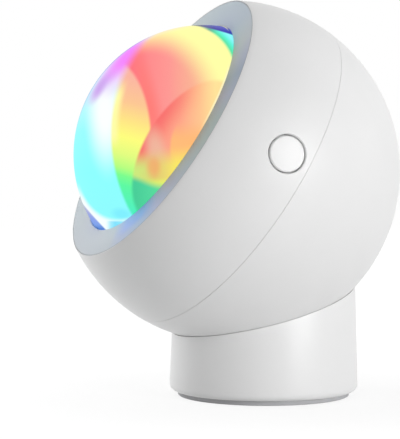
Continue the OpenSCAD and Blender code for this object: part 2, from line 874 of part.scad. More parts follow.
module base_shell() {
    color("whitesmoke") difference() {
        union() {
            difference() {
                rotate_extrude($fn = 160) polygon(base_outline());
                difference() {
                    cylinder(r = cavity_r, h = ball_z);
                    translate([0, -ball_offset, ball_z]) sphere(r = seat_under_r, $fn = 160);
                }
            }
            // collar round the magnet
            translate([0, -ball_offset, collar_z]) cylinder(r = collar_r, h = ball_rise - collar_z);
            // bosses for the base plate
            intersection() {
                around(plate_screw_angles, plate_screw_r) translate([0, 0, plate_z]) {
                    cylinder(r = plate_boss_r, h = ball_z);
                    translate([0, -plate_boss_r / 2, 0]) cube([plate_boss_r + 1, plate_boss_r, ball_z]);
                }
                translate([0, 0, plate_z]) cylinder(r = cavity_r + 1, h = ball_z);
                difference() {
                    cylinder(r = base_r, h = ball_z);
                    translate([0, -ball_offset, ball_z]) sphere(r = seat_r + seat_t / 2, $fn = 160);
                }
            }
        }
        translate([0, -ball_offset, ball_z]) sphere(r = seat_r, $fn = 160);
        grip_groove();
        translate([0, -ball_offset, 0]) cylinder(r = magnet_cup_r + slack, h = magnet_top_z + fit);
        around(plate_screw_angles, plate_screw_r)
            translate([0, 0, plate_z - cut]) cylinder(r = pilot_r, h = thread_l + 2 * cut, $fn = 32);
    }
}

// Groove for the friction ring, about the upright through the ball's centre.
module grip_groove() {
    translate([0, -ball_offset, ball_z]) intersection() {
        sphere(r = seat_r + grip_depth, $fn = 160);
        translate([0, 0, -ball_r - 2]) tube(grip_r + grip_w / 2 + fit, grip_r - grip_w / 2 - fit, ball_r / 2);
    }
}

module seat_ring() {
    color("dimgray") translate([0, -ball_offset, ball_z]) intersection() {
        difference() {
            sphere(r = seat_r + grip_depth - fit, $fn = 160);
            sphere(r = seat_r - grip_proud, $fn = 160);
        }
        translate([0, 0, -ball_r - 2]) tube(grip_r + grip_w / 2, grip_r - grip_w / 2, ball_r / 2);
    }
}

module magnet() {
    color("silver") translate([0, -ball_offset, magnet_top_z - magnet_h])
        cylinder(r = magnet_r, h = magnet_h);
}

module magnet_cup() {
    color("darkgray") translate([0, -ball_offset, magnet_cup_z]) difference() {
        cylinder(r = magnet_cup_r, h = magnet_h + cup_floor_t);
        translate([0, 0, cup_floor_t]) cylinder(r = magnet_r + fit, h = magnet_h + cut);
    }
}

module ballast() {
    color("gray") difference() {
        translate([0, 0, plate_z]) cylinder(r = cavity_r - slack, h = ballast_top - plate_z);
        translate([0, -ball_offset, ball_z]) sphere(r = seat_under_r + slack, $fn = 160);
        translate([0, -ball_offset, magnet_cup_z]) cylinder(r = collar_r + slack, h = ball_z);
        around(plate_screw_angles, plate_screw_r) translate([0, 0, plate_z - cut]) {
            cylinder(r = plate_boss_r + slack, h = ball_z);
            translate([0, -plate_boss_r - slack, 0])
                cube([plate_boss_r + 2, 2 * plate_boss_r + 2 * slack, ball_z]);
        }
    }
}

module base_plate() {
    color("dimgray") difference() {
        translate([0, 0, foot_t]) cylinder(r = cavity_r - slack, h = plate_t);
        around(plate_screw_angles, plate_screw_r) translate([0, 0, foot_t - cut]) {
            cylinder(r = screw_hole_r, h = plate_t + 2 * cut, $fn = 32);
            cylinder(r = screw_head_r + slack, h = screw_head_h + cut, $fn = 32);
        }
    }
}

module base_screws() {
    color("gray") around(plate_screw_angles, plate_screw_r)
        translate([0, 0, foot_t + screw_head_h]) screw(plate_t - screw_head_h + thread_l);
}

module foot_pad() {
    edge = 0.3;
    color("darkgray") rotate_extrude($fn = 160) polygon(concat(
        [[0, 0]],
        arc([foot_r - edge, edge], edge, -90, 0, 4),
        [[foot_r, foot_t], [0, foot_t]]
    ));
}

// ---------------------------------------------------------------- nodes

in_head() front_shell();
in_head() rear_shell();
in_head() bezel_ring();
in_head() lens();
in_head() lens_gasket();
in_head() colour_filter();
in_head() lens_retainer();
in_head() retainer_screws();
in_head() light_cup();
in_head() led_board();
in_head() led_emitter();
in_head() led_screws();
in_head() heat_sink();
in_head() heat_sink_screws();
in_head() chassis();
in_head() chassis_screws();
in_head() main_board();
in_head() controller_chip();
in_head() driver_coil();
in_head() wire_sockets();
in_head() board_screws();
in_head() battery_tray();
in_head() battery();
in_head() battery_leads();
in_head() led_leads();
in_head() switch_leads();
in_head() socket_leads();
in_head() button_cap();
in_head() switch_plunger();
in_head() tact_switch();
in_head() switch_board();
in_head() switch_screws();
in_head() charge_socket();
in_head() socket_board();
in_head() socket_screws();
in_head() keeper_cap();
seat_ring();
base_shell();
magnet();
magnet_cup();
ballast();
base_plate();
base_screws();
foot_pad();
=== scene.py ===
# %% [markdown]
# # A sunset projection lamp
# The lamp is a white ball with a flat front ring and a domed lens, turning in the cupped top of a short
# round base. The CAD model gives every piece its place and size. This script gives the pieces that show
# smooth meshes and every piece a finish, and it sets up the camera and the light.

# %% Load the frame
import json
import math
import bmesh
import bpy
from mathutils import Matrix, Vector


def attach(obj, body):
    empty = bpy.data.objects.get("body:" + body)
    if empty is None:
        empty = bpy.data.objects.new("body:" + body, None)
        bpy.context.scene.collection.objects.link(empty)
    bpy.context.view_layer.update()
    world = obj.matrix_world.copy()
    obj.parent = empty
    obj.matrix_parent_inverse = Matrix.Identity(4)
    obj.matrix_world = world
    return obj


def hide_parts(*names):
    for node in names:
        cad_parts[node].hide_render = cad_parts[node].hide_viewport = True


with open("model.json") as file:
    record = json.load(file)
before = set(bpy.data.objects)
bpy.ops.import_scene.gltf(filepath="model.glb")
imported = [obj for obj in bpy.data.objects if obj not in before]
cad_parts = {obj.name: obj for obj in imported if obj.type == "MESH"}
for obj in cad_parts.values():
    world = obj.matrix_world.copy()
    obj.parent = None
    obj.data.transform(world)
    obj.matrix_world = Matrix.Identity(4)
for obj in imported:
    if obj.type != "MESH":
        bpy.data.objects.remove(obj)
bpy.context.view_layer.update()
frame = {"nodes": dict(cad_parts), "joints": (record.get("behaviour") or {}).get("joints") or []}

# %% [markdown]
# ## Places
# Everything in the ball is easiest to model in the head's own frame: origin at the ball's centre, the lens
# axis along +Z, in millimetres. The ball's centre and the angle of the lens at rest are read from the
# frame's joints, so they can't drift away from the CAD. One matrix then carries a mesh to its place.

# %% The head's frame
MM = 0.001
joints = {joint["name"]: joint for joint in frame["joints"]}
ball_centre = Vector(joints["head_pan"]["pos_m"])
lens_tilt = math.radians(-joints["head_tilt"]["range_deg"][0])
head_turn = math.pi / 2 - lens_tilt
in_base = Matrix.Scale(MM, 4)
in_head = Matrix.Translation(ball_centre) @ Matrix.Rotation(head_turn, 4, "X") @ in_base
head_right = Vector((1, 0, 0))
head_up = Vector((0, math.sin(lens_tilt), math.cos(lens_tilt)))
head_ahead = Vector((0, -math.cos(lens_tilt), math.sin(lens_tilt)))
print("ball centre:", ball_centre, "lens tilt:", round(math.degrees(lens_tilt), 1))

# %% [markdown]
# ## Sizes
# These sizes are shared by several pieces, and are the CAD's. Only three fine lines are finer here, as
# the photograph shows them: the seam, the edge of the shell round the front ring, and the ball's seat.

# %% Sizes shared by several pieces, in millimetres
ball_r = 48.0
shell_wall = 2.0
inner_r = ball_r - shell_wall
seam_gap = 0.08
fit = 0.1
slack = 0.2
face_z = 24.6
front_w = 8.2
rim_edge = 0.16
ring_t = 1.6
rim_r = math.sqrt(ball_r ** 2 - face_z ** 2)
opening_r = rim_r - front_w
ring_r = rim_r - rim_edge
aperture_r = opening_r - 0.3
dome_rise = 20.6
dome_r = (aperture_r ** 2 + dome_rise ** 2) / (2 * dome_rise)
dome_z = face_z + dome_rise - dome_r
print("front rim radius:", round(rim_r, 2), "dome radius:", round(dome_r, 2))

# %% [markdown]
# ### Where the screws go
# A screw and the boss that it enters share one place, so both take it from here.

# %% Places of the screws
side_lift = math.radians(8)
to_button = Matrix.Rotation(math.pi / 2 - side_lift, 4, "Y")
to_socket = Matrix.Scale(-1, 4, (1, 0, 0)) @ to_button
chassis_screw_angles, chassis_screw_r = (90, 210, 330), 40.8
base_screw_angles, base_screw_r = (90, 200, 340), 20.6
switch_screw_y, switch_board_s = 8.15, 36.93
socket_screw_y, socket_screw_s = 6.7, 41.12
print("switch board's screws:", 2 * switch_screw_y, "mm apart, the socket's:", 2 * socket_screw_y)

# %% [markdown]
# ## Camera
# The camera stands where the photograph was taken from. It was found by fitting the outlines of the ball,
# the front ring, the seam and the base, and it is nearly level, 8 ball radii away from the ball.

# %% Camera
photo_w, photo_h = 400, 439
focal_px = 1360.4
camera_offset = Vector((7.2709, -3.3694, -0.2147)) * ball_r * MM
camera_turn = math.radians(66.33)
camera_dip = math.radians(0.46)

camera = bpy.data.objects.new("camera", bpy.data.cameras.new("camera"))
bpy.context.scene.collection.objects.link(camera)
camera.data.sensor_width = 36
camera.data.lens = focal_px * camera.data.sensor_width / max(photo_w, photo_h)
camera.data.clip_start = 0.01
camera.data.clip_end = 20
camera.location = ball_centre + camera_offset
looking = Vector((
    -math.sin(camera_turn) * math.cos(camera_dip),
    math.cos(camera_turn) * math.cos(camera_dip),
    -math.sin(camera_dip),
))
camera.rotation_mode = "QUATERNION"
camera.rotation_quaternion = looking.to_track_quat("-Z", "Y")
bpy.context.scene.camera = camera
print("camera at", camera.location, "lens", round(camera.data.lens, 2), "mm")

# %% [markdown]
# ## Writing shaders as sums
# A material is a graph of nodes, which is slow to write one link at a time. `Shade` wraps one socket, and
# overloads +, -, * and /, so that a sum written in Python adds the Math nodes for it.

# %% A socket in sums
class Shade:
    """The output of a node, which can be used in sums."""

    def __init__(self, graph, socket):
        self.graph = graph
        self.socket = socket

    def sum(self, operation, *values):
        return self.graph.node("ShaderNodeMath", {"operation": operation}, dict(enumerate(values)))

    def __add__(self, other):
        return self.sum("ADD", self, other)

    def __sub__(self, other):
        return self.sum("SUBTRACT", self, other)

    def __rsub__(self, other):
        return self.sum("SUBTRACT", other, self)

    def __mul__(self, other):
        return self.sum("MULTIPLY", self, other)

    def __truediv__(self, other):
        return self.sum("DIVIDE", self, other)

    __radd__ = __add__
    __rmul__ = __mul__


def plain(colour):
    """A screen colour, a tuple of 0 to 255, in a shader's linear values. Anything else stays as it is."""
    if not isinstance(colour, tuple):
        return colour
    parts = [value / 255 for value in colour]
    return [p / 12.92 if p < 0.04045 else ((p + 0.055) / 1.055) ** 2.4 for p in parts] + [1]


# %% [markdown]
# ### Node trees
# `Graph` owns a node tree. Its `node` method makes any node: type, settings first, then sockets. The rest
# are short names for the nodes that are needed often.

# %% A node tree
class Graph:
    """A node tree, of a material or of the world."""

    def __init__(self, tree):
        self.tree = tree

    def node(self, kind, settings=None, inputs=None, output=0):
        made = self.tree.nodes.new(kind)
        for key, value in (settings or {}).items():
            setattr(made, key, value)
        for key, value in (inputs or {}).items():
            self.feed(made.inputs[key], value)
        return Shade(self, made.outputs[output])

    def feed(self, socket, value):
        if isinstance(value, Shade):
            self.tree.links.new(value.socket, socket)
        else:
            socket.default_value = value

    def vector(self, operation, *values, output=0):
        return self.node("ShaderNodeVectorMath", {"operation": operation}, dict(enumerate(values)), output)

    def length(self, vector):
        return self.vector("LENGTH", vector, output="Value")

    def flat(self, x, y):
        """The point with these two values on a plane."""
        return self.node("ShaderNodeCombineXYZ", {}, {"X": x, "Y": y})

    def smooth(self, value, low, high):
        """0 below low, 1 above high, and a smooth step between them."""
        settings = {"interpolation_type": "SMOOTHSTEP"}
        inputs = {"Value": value, "From Min": low, "From Max": high}
        return self.node("ShaderNodeMapRange", settings, inputs, "Result")

    def mix(self, mask, under, over):
        """A colour that goes from under to over as the mask goes from 0 to 1."""
        inputs = {0: mask, 6: plain(under), 7: plain(over)}
        return self.node("ShaderNodeMix", {"data_type": "RGBA"}, inputs, 2)

    def seen(self):
        """1 for a ray that shows what it meets, straight on or mirrored, and 0 for one that only lights."""
        kinds = ("Is Camera Ray", "Is Transmission Ray", "Is Glossy Ray")
        camera_ray, clear_ray, mirror_ray = [self.node("ShaderNodeLightPath", output=kind) for kind in kinds]
        straight = camera_ray.sum("MAXIMUM", camera_ray, clear_ray)
        return straight.sum("MAXIMUM", straight, mirror_ray)


# %% [markdown]
# ### Finishes
# A `Finish` is one material. All its patterns start from the place of a point on the object, so they
# stay put on the lamp whichever way it is seen.

# %% A material
class Finish(Graph):
    """One material, with the sockets of its Principled shader named by keyword."""

    def __init__(self, name, **sockets):
        self.material = bpy.data.materials.new(name)
        self.material.use_nodes = True
        super().__init__(self.material.node_tree)
        self.shader = self.tree.nodes["Principled BSDF"]
        self.place = self.node("ShaderNodeTexCoord", output="Object")
        self.set(**sockets)

    def set(self, **sockets):
        for key, value in sockets.items():
            self.feed(self.shader.inputs[key.replace("_", " ")], plain(value))

    def noise(self, size_mm, detail=2.0, roughness=0.5, stretch=None, turn=0.0):
        """Smooth noise from 0 to 1, with lumps of about that size, or streaks where it is stretched."""
        place = self.place
        if stretch:
            spread = {"Vector": place, "Rotation": (turn, 0, 0), "Scale": stretch}
            place = self.node("ShaderNodeMapping", {"vector_type": "TEXTURE"}, spread)
        inputs = {"Vector": place, "Scale": 1 / (size_mm * MM), "Detail": detail, "Roughness": roughness}
        return self.node("ShaderNodeTexNoise", {}, inputs, "Fac")

    def along(self, direction, origin=ball_centre):
        """How far a point lies along a direction from an origin, in millimetres."""
        moved = self.vector("SUBTRACT", self.place, origin)
        return self.vector("DOT_PRODUCT", moved, [value / MM for value in direction], output="Value")

    def off_axis(self):
        """How far a point lies from the lens axis, in millimetres."""
        return self.length(self.flat(self.along(head_right), self.along(head_up)))

    def bands(self, value, *stops):
        """Colours along a value: each stop is where it lies, in the value's own units, and its colour."""
        low, high = stops[0][0], stops[-1][0]
        made = self.node("ShaderNodeValToRGB", {}, {"Fac": (value - low) / (high - low)}, "Color")
        elements = made.socket.node.color_ramp.elements
        while len(elements) > 1:
            elements.remove(elements[0])
        for number, (place, colour) in enumerate(stops):
            position = (place - low) / (high - low)
            element = elements.new(position) if number else elements[0]
            element.position = position
            element.color = plain(colour)
        return made

    def bump(self, height, depth_mm, strength=1.0):
        inputs = {"Height": height, "Distance": depth_mm * MM, "Strength": strength}
        return self.node("ShaderNodeBump", {}, inputs, "Normal")


# %% [markdown]
# ## Turning profiles into pieces
# Nearly every piece that shows is round, so it is a profile turned about an axis, as on a lathe. The
# profile is a closed line of (radius, height) points, and round stretches come from `arc`. The spin
# operator sweeps it, the doubles at its poles are merged, and its faces are turned outwards.

# %% Profiles
round_steps = 160
sharp_angle = math.radians(32)


def arc(centre, radius, start, end, steps):
    """Points on a circle between two angles in degrees, as (radius, height) pairs."""
    angles = [math.radians(start + (end - start) * step / steps) for step in range(steps + 1)]
    return [(centre[0] + radius * math.cos(a), centre[1] + radius * math.sin(a)) for a in angles]


def turned(profile, steps=round_steps):
    """A closed profile of (radius, height) points, spun about +Z."""
    bm = bmesh.new()
    ring = [bm.verts.new((max(r, 0), 0, z)) for r, z in profile]
    edges = [bm.edges.new(pair) for pair in zip(ring, ring[1:] + ring[:1])]
    bmesh.ops.spin(bm, geom=ring + edges, cent=(0, 0, 0), axis=(0, 0, 1), dvec=(0, 0, 0),
                   angle=2 * math.pi, space=Matrix(), steps=steps, use_merge=True)
    bmesh.ops.remove_doubles(bm, verts=bm.verts, dist=1e-4)
    bmesh.ops.recalc_face_normals(bm, faces=bm.faces)
    return bm


# %% [markdown]
# ### From shape to piece
# A shape is made in millimetres about its own axis. Its last step turns it into a mesh in metres at its
# place on the lamp, hangs it from the empty of the body it rides, and hides the CAD nodes it stands for.

# %% Meshes and pieces
def to_mesh(bm, name, place):
    """Moves a bmesh to its place, in metres, and makes it a smooth mesh with sharp corners kept."""
    bmesh.ops.transform(bm, matrix=place, verts=bm.verts)
    mesh = bpy.data.meshes.new(name)
    bm.to_mesh(mesh)
    bm.free()
    mesh.shade_smooth()
    mesh.set_sharp_from_angle(angle=sharp_angle)
    return mesh


def piece(name, bm, place, finish, body, slot, *nodes):
    """Hands a shape to the frame: it hangs from its body's empty, and the nodes it stands for are hidden. The
    slot is not used.
    """
    mesh = to_mesh(bm, name, place)
    obj = bpy.data.objects.new(name, mesh)
    bpy.context.scene.collection.objects.link(obj)
    mesh.materials.append(finish.material)
    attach(obj, body)
    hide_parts(*nodes)
    print(name, len(mesh.polygons), "faces")
    return obj


# %% [markdown]
# ### Cutting and adding
# Holes that cross a turned face at an angle are cut with a shape of their own. Bosses and ribs are only
# laid into a shell, because their ends lie inside its wall.

# %% Cutting, bevels and joining
def cut(obj, bm, place):
    """Cuts a shape out of an object, and leaves the result as the object's own mesh."""
    tool = bpy.data.objects.new("cutter", to_mesh(bm, "cutter", place))
    bpy.context.scene.collection.objects.link(tool)
    modifier = obj.modifiers.new("cut", "BOOLEAN")
    modifier.object = tool
    modifier.operation = "DIFFERENCE"
    modifier.solver = "EXACT"
    depsgraph = bpy.context.evaluated_depsgraph_get()
    result = bpy.data.meshes.new_from_object(obj.evaluated_get(depsgraph))
    obj.modifiers.clear()
    obj.data = result
    bpy.data.objects.remove(tool)
    result.set_sharp_from_angle(angle=sharp_angle)


def bevel(bm, edges, width, segments=3, clamp=False):
    bmesh.ops.bevel(bm, geom=edges, offset=width, offset_type="OFFSET", segments=segments, profile=0.5,
                    affect="EDGES", material=-1, clamp_overlap=clamp)


def block(size, centre, edge=0.0):
    """A block of that size in millimetres, with its edges bevelled."""
    bm = bmesh.new()
    bmesh.ops.create_cube(bm, size=1, matrix=Matrix.Translation(centre) @ Matrix.Diagonal((*size, 1)))
    if edge:
        bevel(bm, list(bm.edges), edge)
    return bm


def joined(parts):
    """Puts several shapes into one bmesh. Each part is a bmesh, with or without a place."""
    whole = bmesh.new()
    for part in parts:
        shape, place = part if isinstance(part, tuple) else (part, Matrix())
        start = len(whole.verts)
        mesh = bpy.data.meshes.new("part")
        shape.to_mesh(mesh)
        whole.from_mesh(mesh)
        whole.verts.ensure_lookup_table()
        bmesh.ops.transform(whole, matrix=place, verts=whole.verts[start:])
        bpy.data.meshes.remove(mesh)
    return whole


def add_inside(obj, *parts):
    """Adds ribs and bosses to a shell. Their ends lie inside its wall, so nothing has to be cut."""
    more = joined(parts)
    bmesh.ops.recalc_face_normals(more, faces=more.faces)
    mesh = bpy.data.meshes.new("more")
    more.to_mesh(mesh)
    more.free()
    whole = bmesh.new()
    whole.from_mesh(obj.data)
    whole.from_mesh(mesh)
    whole.to_mesh(obj.data)
    whole.free()
    bpy.data.meshes.remove(mesh)
    obj.data.set_sharp_from_angle(angle=sharp_angle)
    print(obj.name, "with", len(parts), "shapes added:", len(obj.data.polygons), "faces")


# %% [markdown]
# ## White satin plastic
# Both ball shells, the base and the button are moulded in one white plastic with a soft sheen. A real
# moulding is never one flat colour: it has very faint clouds, a fine eroded texture from the mould, and
# a roughness that changes a little from place to place. All three are noise, at two scales.

# %% White satin plastic
def moulded(name, colour, darkest=0.975, rough=0.35, grain_mm=0.35, deep_mm=0.006):
    """Moulded plastic: faint clouds down to darkest times its colour, and the mould's fine grain."""
    finish = Finish(name, IOR=1.47)
    clouds = finish.noise(28, 3.0)
    grain = finish.noise(grain_mm, 3.0)
    darker = [value * darkest for value in plain(colour)[:3]] + [1]
    finish.set(
        Base_Color=finish.mix(finish.smooth(clouds, 0.35, 0.7), darker, colour),
        Roughness=rough + 0.05 * clouds + 0.04 * grain,
        Normal=finish.bump(grain, deep_mm, 0.35),
    )
    return finish


shell_white = moulded("shell_white", [0.83, 0.83, 0.83, 1])
button_white = moulded("button_white", [0.86, 0.86, 0.86, 1])

# %% [markdown]
# ## Rear shell
# The rear half of the ball is a plain hemisphere with a 2 mm wall. Its edge has a recess that the front
# shell's tongue slides into. The photograph shows the seam as a faint hairline, so the halves stand only
# 0.08 mm apart here, which a camera sees as a soft grey line and not as a black one.

# %% Rear shell
tongue_h = 2.2
tongue_wall = (shell_wall - fit) / 2
tongue_r = inner_r + tongue_wall
seam_angle = -math.degrees(math.asin(seam_gap / ball_r))
recess_z = -tongue_h - slack
recess_angle = math.degrees(math.asin(recess_z / inner_r))
rear_profile = (
    arc((0, 0), ball_r, seam_angle, -90, 40)
    + arc((0, 0), inner_r, -90, recess_angle, 24)
    + [(tongue_r + fit, recess_z), (tongue_r + fit, -seam_gap)]
)
piece("rear_ball_shell", turned(rear_profile), in_head, shell_white, "head", "white_shell", "rear_shell")

# %% [markdown]
# ## Front shell
# The front half ends in a thin rim, a step that the front ring lies in, and a skirt that guides the
# ring's sleeve. All of it is one profile, so it is turned in one go.

# %% Front shell
rim_gap, rim_round = 0.04, 0.03
ring_seat_z = face_z - ring_t
clamp_z = 15.4
skirt_bore_r = 39.02
skirt_r = skirt_bore_r + 1.8
rim_angle = math.degrees(math.asin(face_z / ball_r)) - 2 * rim_round
skirt_angle = math.degrees(math.acos(skirt_r / inner_r))
front_profile = (
    arc((0, 0), ball_r, 0, rim_angle, 18)
    + [(rim_r - rim_round, face_z), (ring_r + rim_gap, face_z), (ring_r + rim_gap, ring_seat_z)]
    + [(skirt_bore_r, ring_seat_z), (skirt_bore_r, clamp_z), (skirt_r, clamp_z)]
    + arc((0, 0), inner_r, skirt_angle, 0, 12)
    + [(inner_r, -tongue_h), (tongue_r, -tongue_h), (tongue_r, 0)]
)
front_shell = piece("front_ball_shell", turned(front_profile), in_head,
                    shell_white, "head", "white_shell", "front_shell")

# %% [markdown]
# ### Holes in the front shell
# The button's hole is a turned cutter with a bevel at its mouth. The socket's hole is a circle pulled
# apart in its middle and drawn upwards. Its place is a mirror of the button's, which turns a shape inside
# out, so its faces are turned outwards once more before it cuts.

# %% Holes for the button and the charging socket
button_r = 4.6
button_hole_r = button_r + 0.35
button_bevel = 0.3
hole_top = math.sqrt(ball_r ** 2 - button_hole_r ** 2)
mouth_r = button_hole_r + 3 * button_bevel
hole_profile = [
    (0, inner_r - 3),
    (button_hole_r, inner_r - 3),
    (button_hole_r, hole_top - button_bevel),
    (mouth_r, hole_top + 2 * button_bevel),
    (mouth_r, ball_r + 1),
    (0, ball_r + 1),
]
cut(front_shell, turned(hole_profile, 96), in_head @ to_button)

socket_w, socket_h = 9.0, 3.2
slot_low, slot_high = inner_r - 4, ball_r + 1
slot = bmesh.new()
for vert in bmesh.ops.create_circle(slot, cap_ends=True, segments=48, radius=socket_h / 2 + fit)["verts"]:
    vert.co.y += math.copysign((socket_w - socket_h) / 2, vert.co.y)
    vert.co.z = slot_low
drawn_up = bmesh.ops.extrude_face_region(slot, geom=list(slot.faces))["geom"]
top_verts = [item for item in drawn_up if isinstance(item, bmesh.types.BMVert)]
bmesh.ops.translate(slot, verts=top_verts, vec=(0, 0, slot_high - slot_low))
bmesh.ops.recalc_face_normals(slot, faces=slot.faces)
bmesh.ops.transform(slot, matrix=in_head @ to_socket, verts=slot.verts)
bmesh.ops.recalc_face_normals(slot, faces=slot.faces)
cut(front_shell, slot, Matrix())
print("front shell after cutting:", len(front_shell.data.polygons), "faces")

# %% [markdown]
# ### What the front shell holds
# Three bosses with ribs carry the chassis, two carry the switch's board, and two rails the socket's.

# %% Bosses and rails inside the front shell
screw_bore = 0.85
boss_r = 2.6


def boss(radius, low, high, bore=screw_bore):
    """A round boss along Z with a bore for its screw."""
    return turned([(bore, low), (radius, low), (radius, high), (bore, high)], 48)


inner_shapes = []
for angle in chassis_screw_angles:
    round_axis = Matrix.Rotation(math.radians(angle), 4, "Z")
    place = in_head @ round_axis @ Matrix.Translation((chassis_screw_r, 0, 0))
    inner_shapes += [(boss(boss_r, -1, 11.7), place), (block((4.0, boss_r, 12.1), (3.5, 0, 5.35)), place)]
for side in (-1, 1):
    place = in_head @ to_button @ Matrix.Translation((0, side * switch_screw_y, 0))
    rail = block((2.4, 3.0, 8.9), (4.4, side * socket_screw_y, 41.75))
    inner_shapes += [(boss(2.1, switch_board_s, 46.2), place), (rail, in_head @ to_socket)]
add_inside(front_shell, *inner_shapes)

# %% [markdown]
# ## Front ring
# The flat ring round the lens is pale blue grey, and slightly softer in gloss than the ball. Light from
# the lens falls on it in faint colours that change round the ring, lilac blue at its lower right: a painted
# glow, drawn into the colour by angle, so it stays free of noise. A painted shade line runs round its outer
# edge.

# %% The ring's colours, with painted glow and shade
front_grey = Finish("front_ring_grey", IOR=1.47)
ring_clouds = front_grey.noise(20, 2.0)
ring_grain = front_grey.noise(0.3, 3.0)
to_right, to_top = front_grey.along(head_right), front_grey.along(head_up)
ring_angle = to_top.sum("ARCTAN2", to_top, to_right) * (180 / math.pi)
ring_out = front_grey.length(front_grey.flat(to_right, to_top))
# Painted glow from the lens, by the angle round the ring.
ring_colour_glow_and_shade = front_grey.bands(
    ring_angle,
    (-180, (196, 205, 211)), (-100, (204, 211, 216)), (-72, (208, 212, 219)), (-62, (180, 194, 252)),
    (-50, (157, 185, 255)), (-40, (194, 190, 230)), (-30, (180, 190, 217)), (-20, (174, 199, 210)),
    (-10, (171, 201, 201)), (0, (167, 197, 200)), (10, (169, 184, 210)), (20, (153, 171, 199)),
    (30, (178, 185, 209)), (40, (190, 198, 206)), (60, (185, 197, 211)), (90, (191, 205, 214)),
    (180, (196, 205, 211)),
)
# The painted glow fades on the outer half of the ring's lower part.
outer_half = front_grey.smooth(ring_out, opening_r + 3, opening_r + 7)
lower_part = front_grey.smooth(ring_angle, -38, -52)
# A painted shade line along the ring's outer edge.
outer_edge_painted_shade = front_grey.smooth(ring_out, ring_r - 0.45, ring_r - 0.1)
ring_colour_glow_and_shade = front_grey.mix(outer_half * lower_part * 0.6, ring_colour_glow_and_shade, (200, 206, 213))
ring_colour_glow_and_shade = front_grey.mix(ring_clouds * 0.12, ring_colour_glow_and_shade, (170, 176, 182))
ring_colour_glow_and_shade = front_grey.mix(outer_edge_painted_shade * 0.5, ring_colour_glow_and_shade, (158, 156, 158))
front_grey.set(Base_Color=ring_colour_glow_and_shade, Roughness=0.42 + 0.06 * ring_clouds,
               Normal=front_grey.bump(ring_grain, 0.006, 0.4))
print("front ring shader:", len(front_grey.tree.nodes), "nodes")

# %% [markdown]
# ### The ring's shape
# A sleeve behind the ring holds the lens. The ring's rounded edges catch a thin line of light or shade,
# which a sharp edge never does.

# %% Front ring
edge_round = 0.22
lip_t = 1.6
sleeve_in_r = 35.72
sleeve_r = sleeve_in_r + 3.2
ring_profile = (
    [(ring_r, ring_seat_z)]
    + arc((ring_r - edge_round, face_z - edge_round), edge_round, 0, 90, 5)
    + arc((opening_r + edge_round, face_z - edge_round), edge_round, 90, 180, 5)
    + [(opening_r, face_z - lip_t), (sleeve_in_r, face_z - lip_t), (sleeve_in_r, clamp_z)]
    + [(sleeve_r, clamp_z), (sleeve_r, ring_seat_z)]
)
piece("front_ring", turned(ring_profile), in_head, front_grey, "head", "front_ring", "bezel_ring")

# %% [markdown]
# ## Domed lens
# The lens is a thick cap of a sphere. On the real lamp a coating splits the light into bands, so it glows
# in curved patches of colour with crisp edges on one side and soft ones on the other. A photograph of
# it can't be used, and light really split by glass would be slow and noisy, so the bands are drawn. They
# lie on a flat, upright plane that is turned to the button's side and runs through the dome like a sheet
# of film, so the dome shows them from every side. `across` and `height` are places on that plane and
# `toward` is the way out of it, in millimetres from the dome's centre. `rise` is the height over the ring.

# %% The plane of the bands
lens_glow = Finish("lens_glow", IOR=1.5, Roughness=0.08, Base_Color=[0.02, 0.02, 0.02, 1])
lens_glow.set(Emission_Strength=1.0, Specular_IOR_Level=0.0, Coat_Weight=0.1, Coat_Roughness=0.05)
dome_centre = ball_centre + head_ahead * dome_z * MM
film_turn = math.radians(66.3)
across = lens_glow.along(Vector((math.cos(film_turn), math.sin(film_turn), 0)), dome_centre)
toward = lens_glow.along(Vector((math.sin(film_turn), -math.cos(film_turn), 0)), dome_centre)
height = lens_glow.along((0, 0, 1), dome_centre)
rise = lens_glow.along(head_ahead) - face_z
film = lens_glow.flat(across, height)


def oval(centre, radii, turn=0.0):
    """How far out a point lies on an oval: 0 at its centre, 1 on its edge."""
    turn_z = (0, 0, math.radians(turn))
    inputs = {"Vector": film, "Location": (*centre, 0), "Rotation": turn_z, "Scale": (*radii, 1)}
    return lens_glow.length(lens_glow.node("ShaderNodeMapping", {"vector_type": "TEXTURE"}, inputs))


def inside(centre, radii, turn, soft):
    """1 inside an oval and 0 outside it, with an edge about soft millimetres wide."""
    edge = soft / 2 / min(radii)
    return lens_glow.smooth(oval(centre, radii, turn), 1 + edge, 1 - edge)


smooth = lens_glow.smooth
mix = lens_glow.mix
bands = lens_glow.bands
print("dome centre, mm:", [round(value / MM, 2) for value in dome_centre])

# %% [markdown]
# ### The cool side
# The far side of the dome from the button is cyan. A white patch and magenta clouds drift over it, and a
# thin blue line follows the upper part of its outline, on the half that faces away from the ball, where
# the light leaves the thick edge of the glass.

# %% Cyan, white and magenta
cool = bands(height, (-20, (140, 250, 255)), (-5, (138, 255, 255)), (6, (150, 252, 255)),
             (14, (185, 250, 255)))
for centre, radii, turn, soft, colour in (
    ((-26.0, 10.5), (3.9, 11), 4, 6, (252, 255, 255)),
    ((-23.0, 21.2), (3.4, 5.6), -35, 4.5, (238, 220, 255)),
    ((-26.6, 19.6), (1.6, 5.2), -42, 3.2, (212, 176, 246)),
    ((-19.0, 26.8), (3.6, 8), -52, 4.5, (244, 130, 255)),
    ((-28.2, 17.4), (1.1, 2.8), -25, 2.6, (204, 164, 238)),
):
    cool = mix(inside(centre, radii, turn, soft), cool, colour)

outline = oval((0, 0), (1, 1))
line = smooth(outline, 35.2, 36.05) * smooth(toward, -5, 2) * smooth(height, 3, 18) * smooth(across, -7, -17)
cool = mix(line, cool, bands(height, (8, (160, 212, 235)), (20, (124, 156, 226)), (28, (104, 112, 212))))

# %% [markdown]
# ### The warm side
# Salmon turns to yellow further out, and pales at the very top of the outline. The lowest part is green.

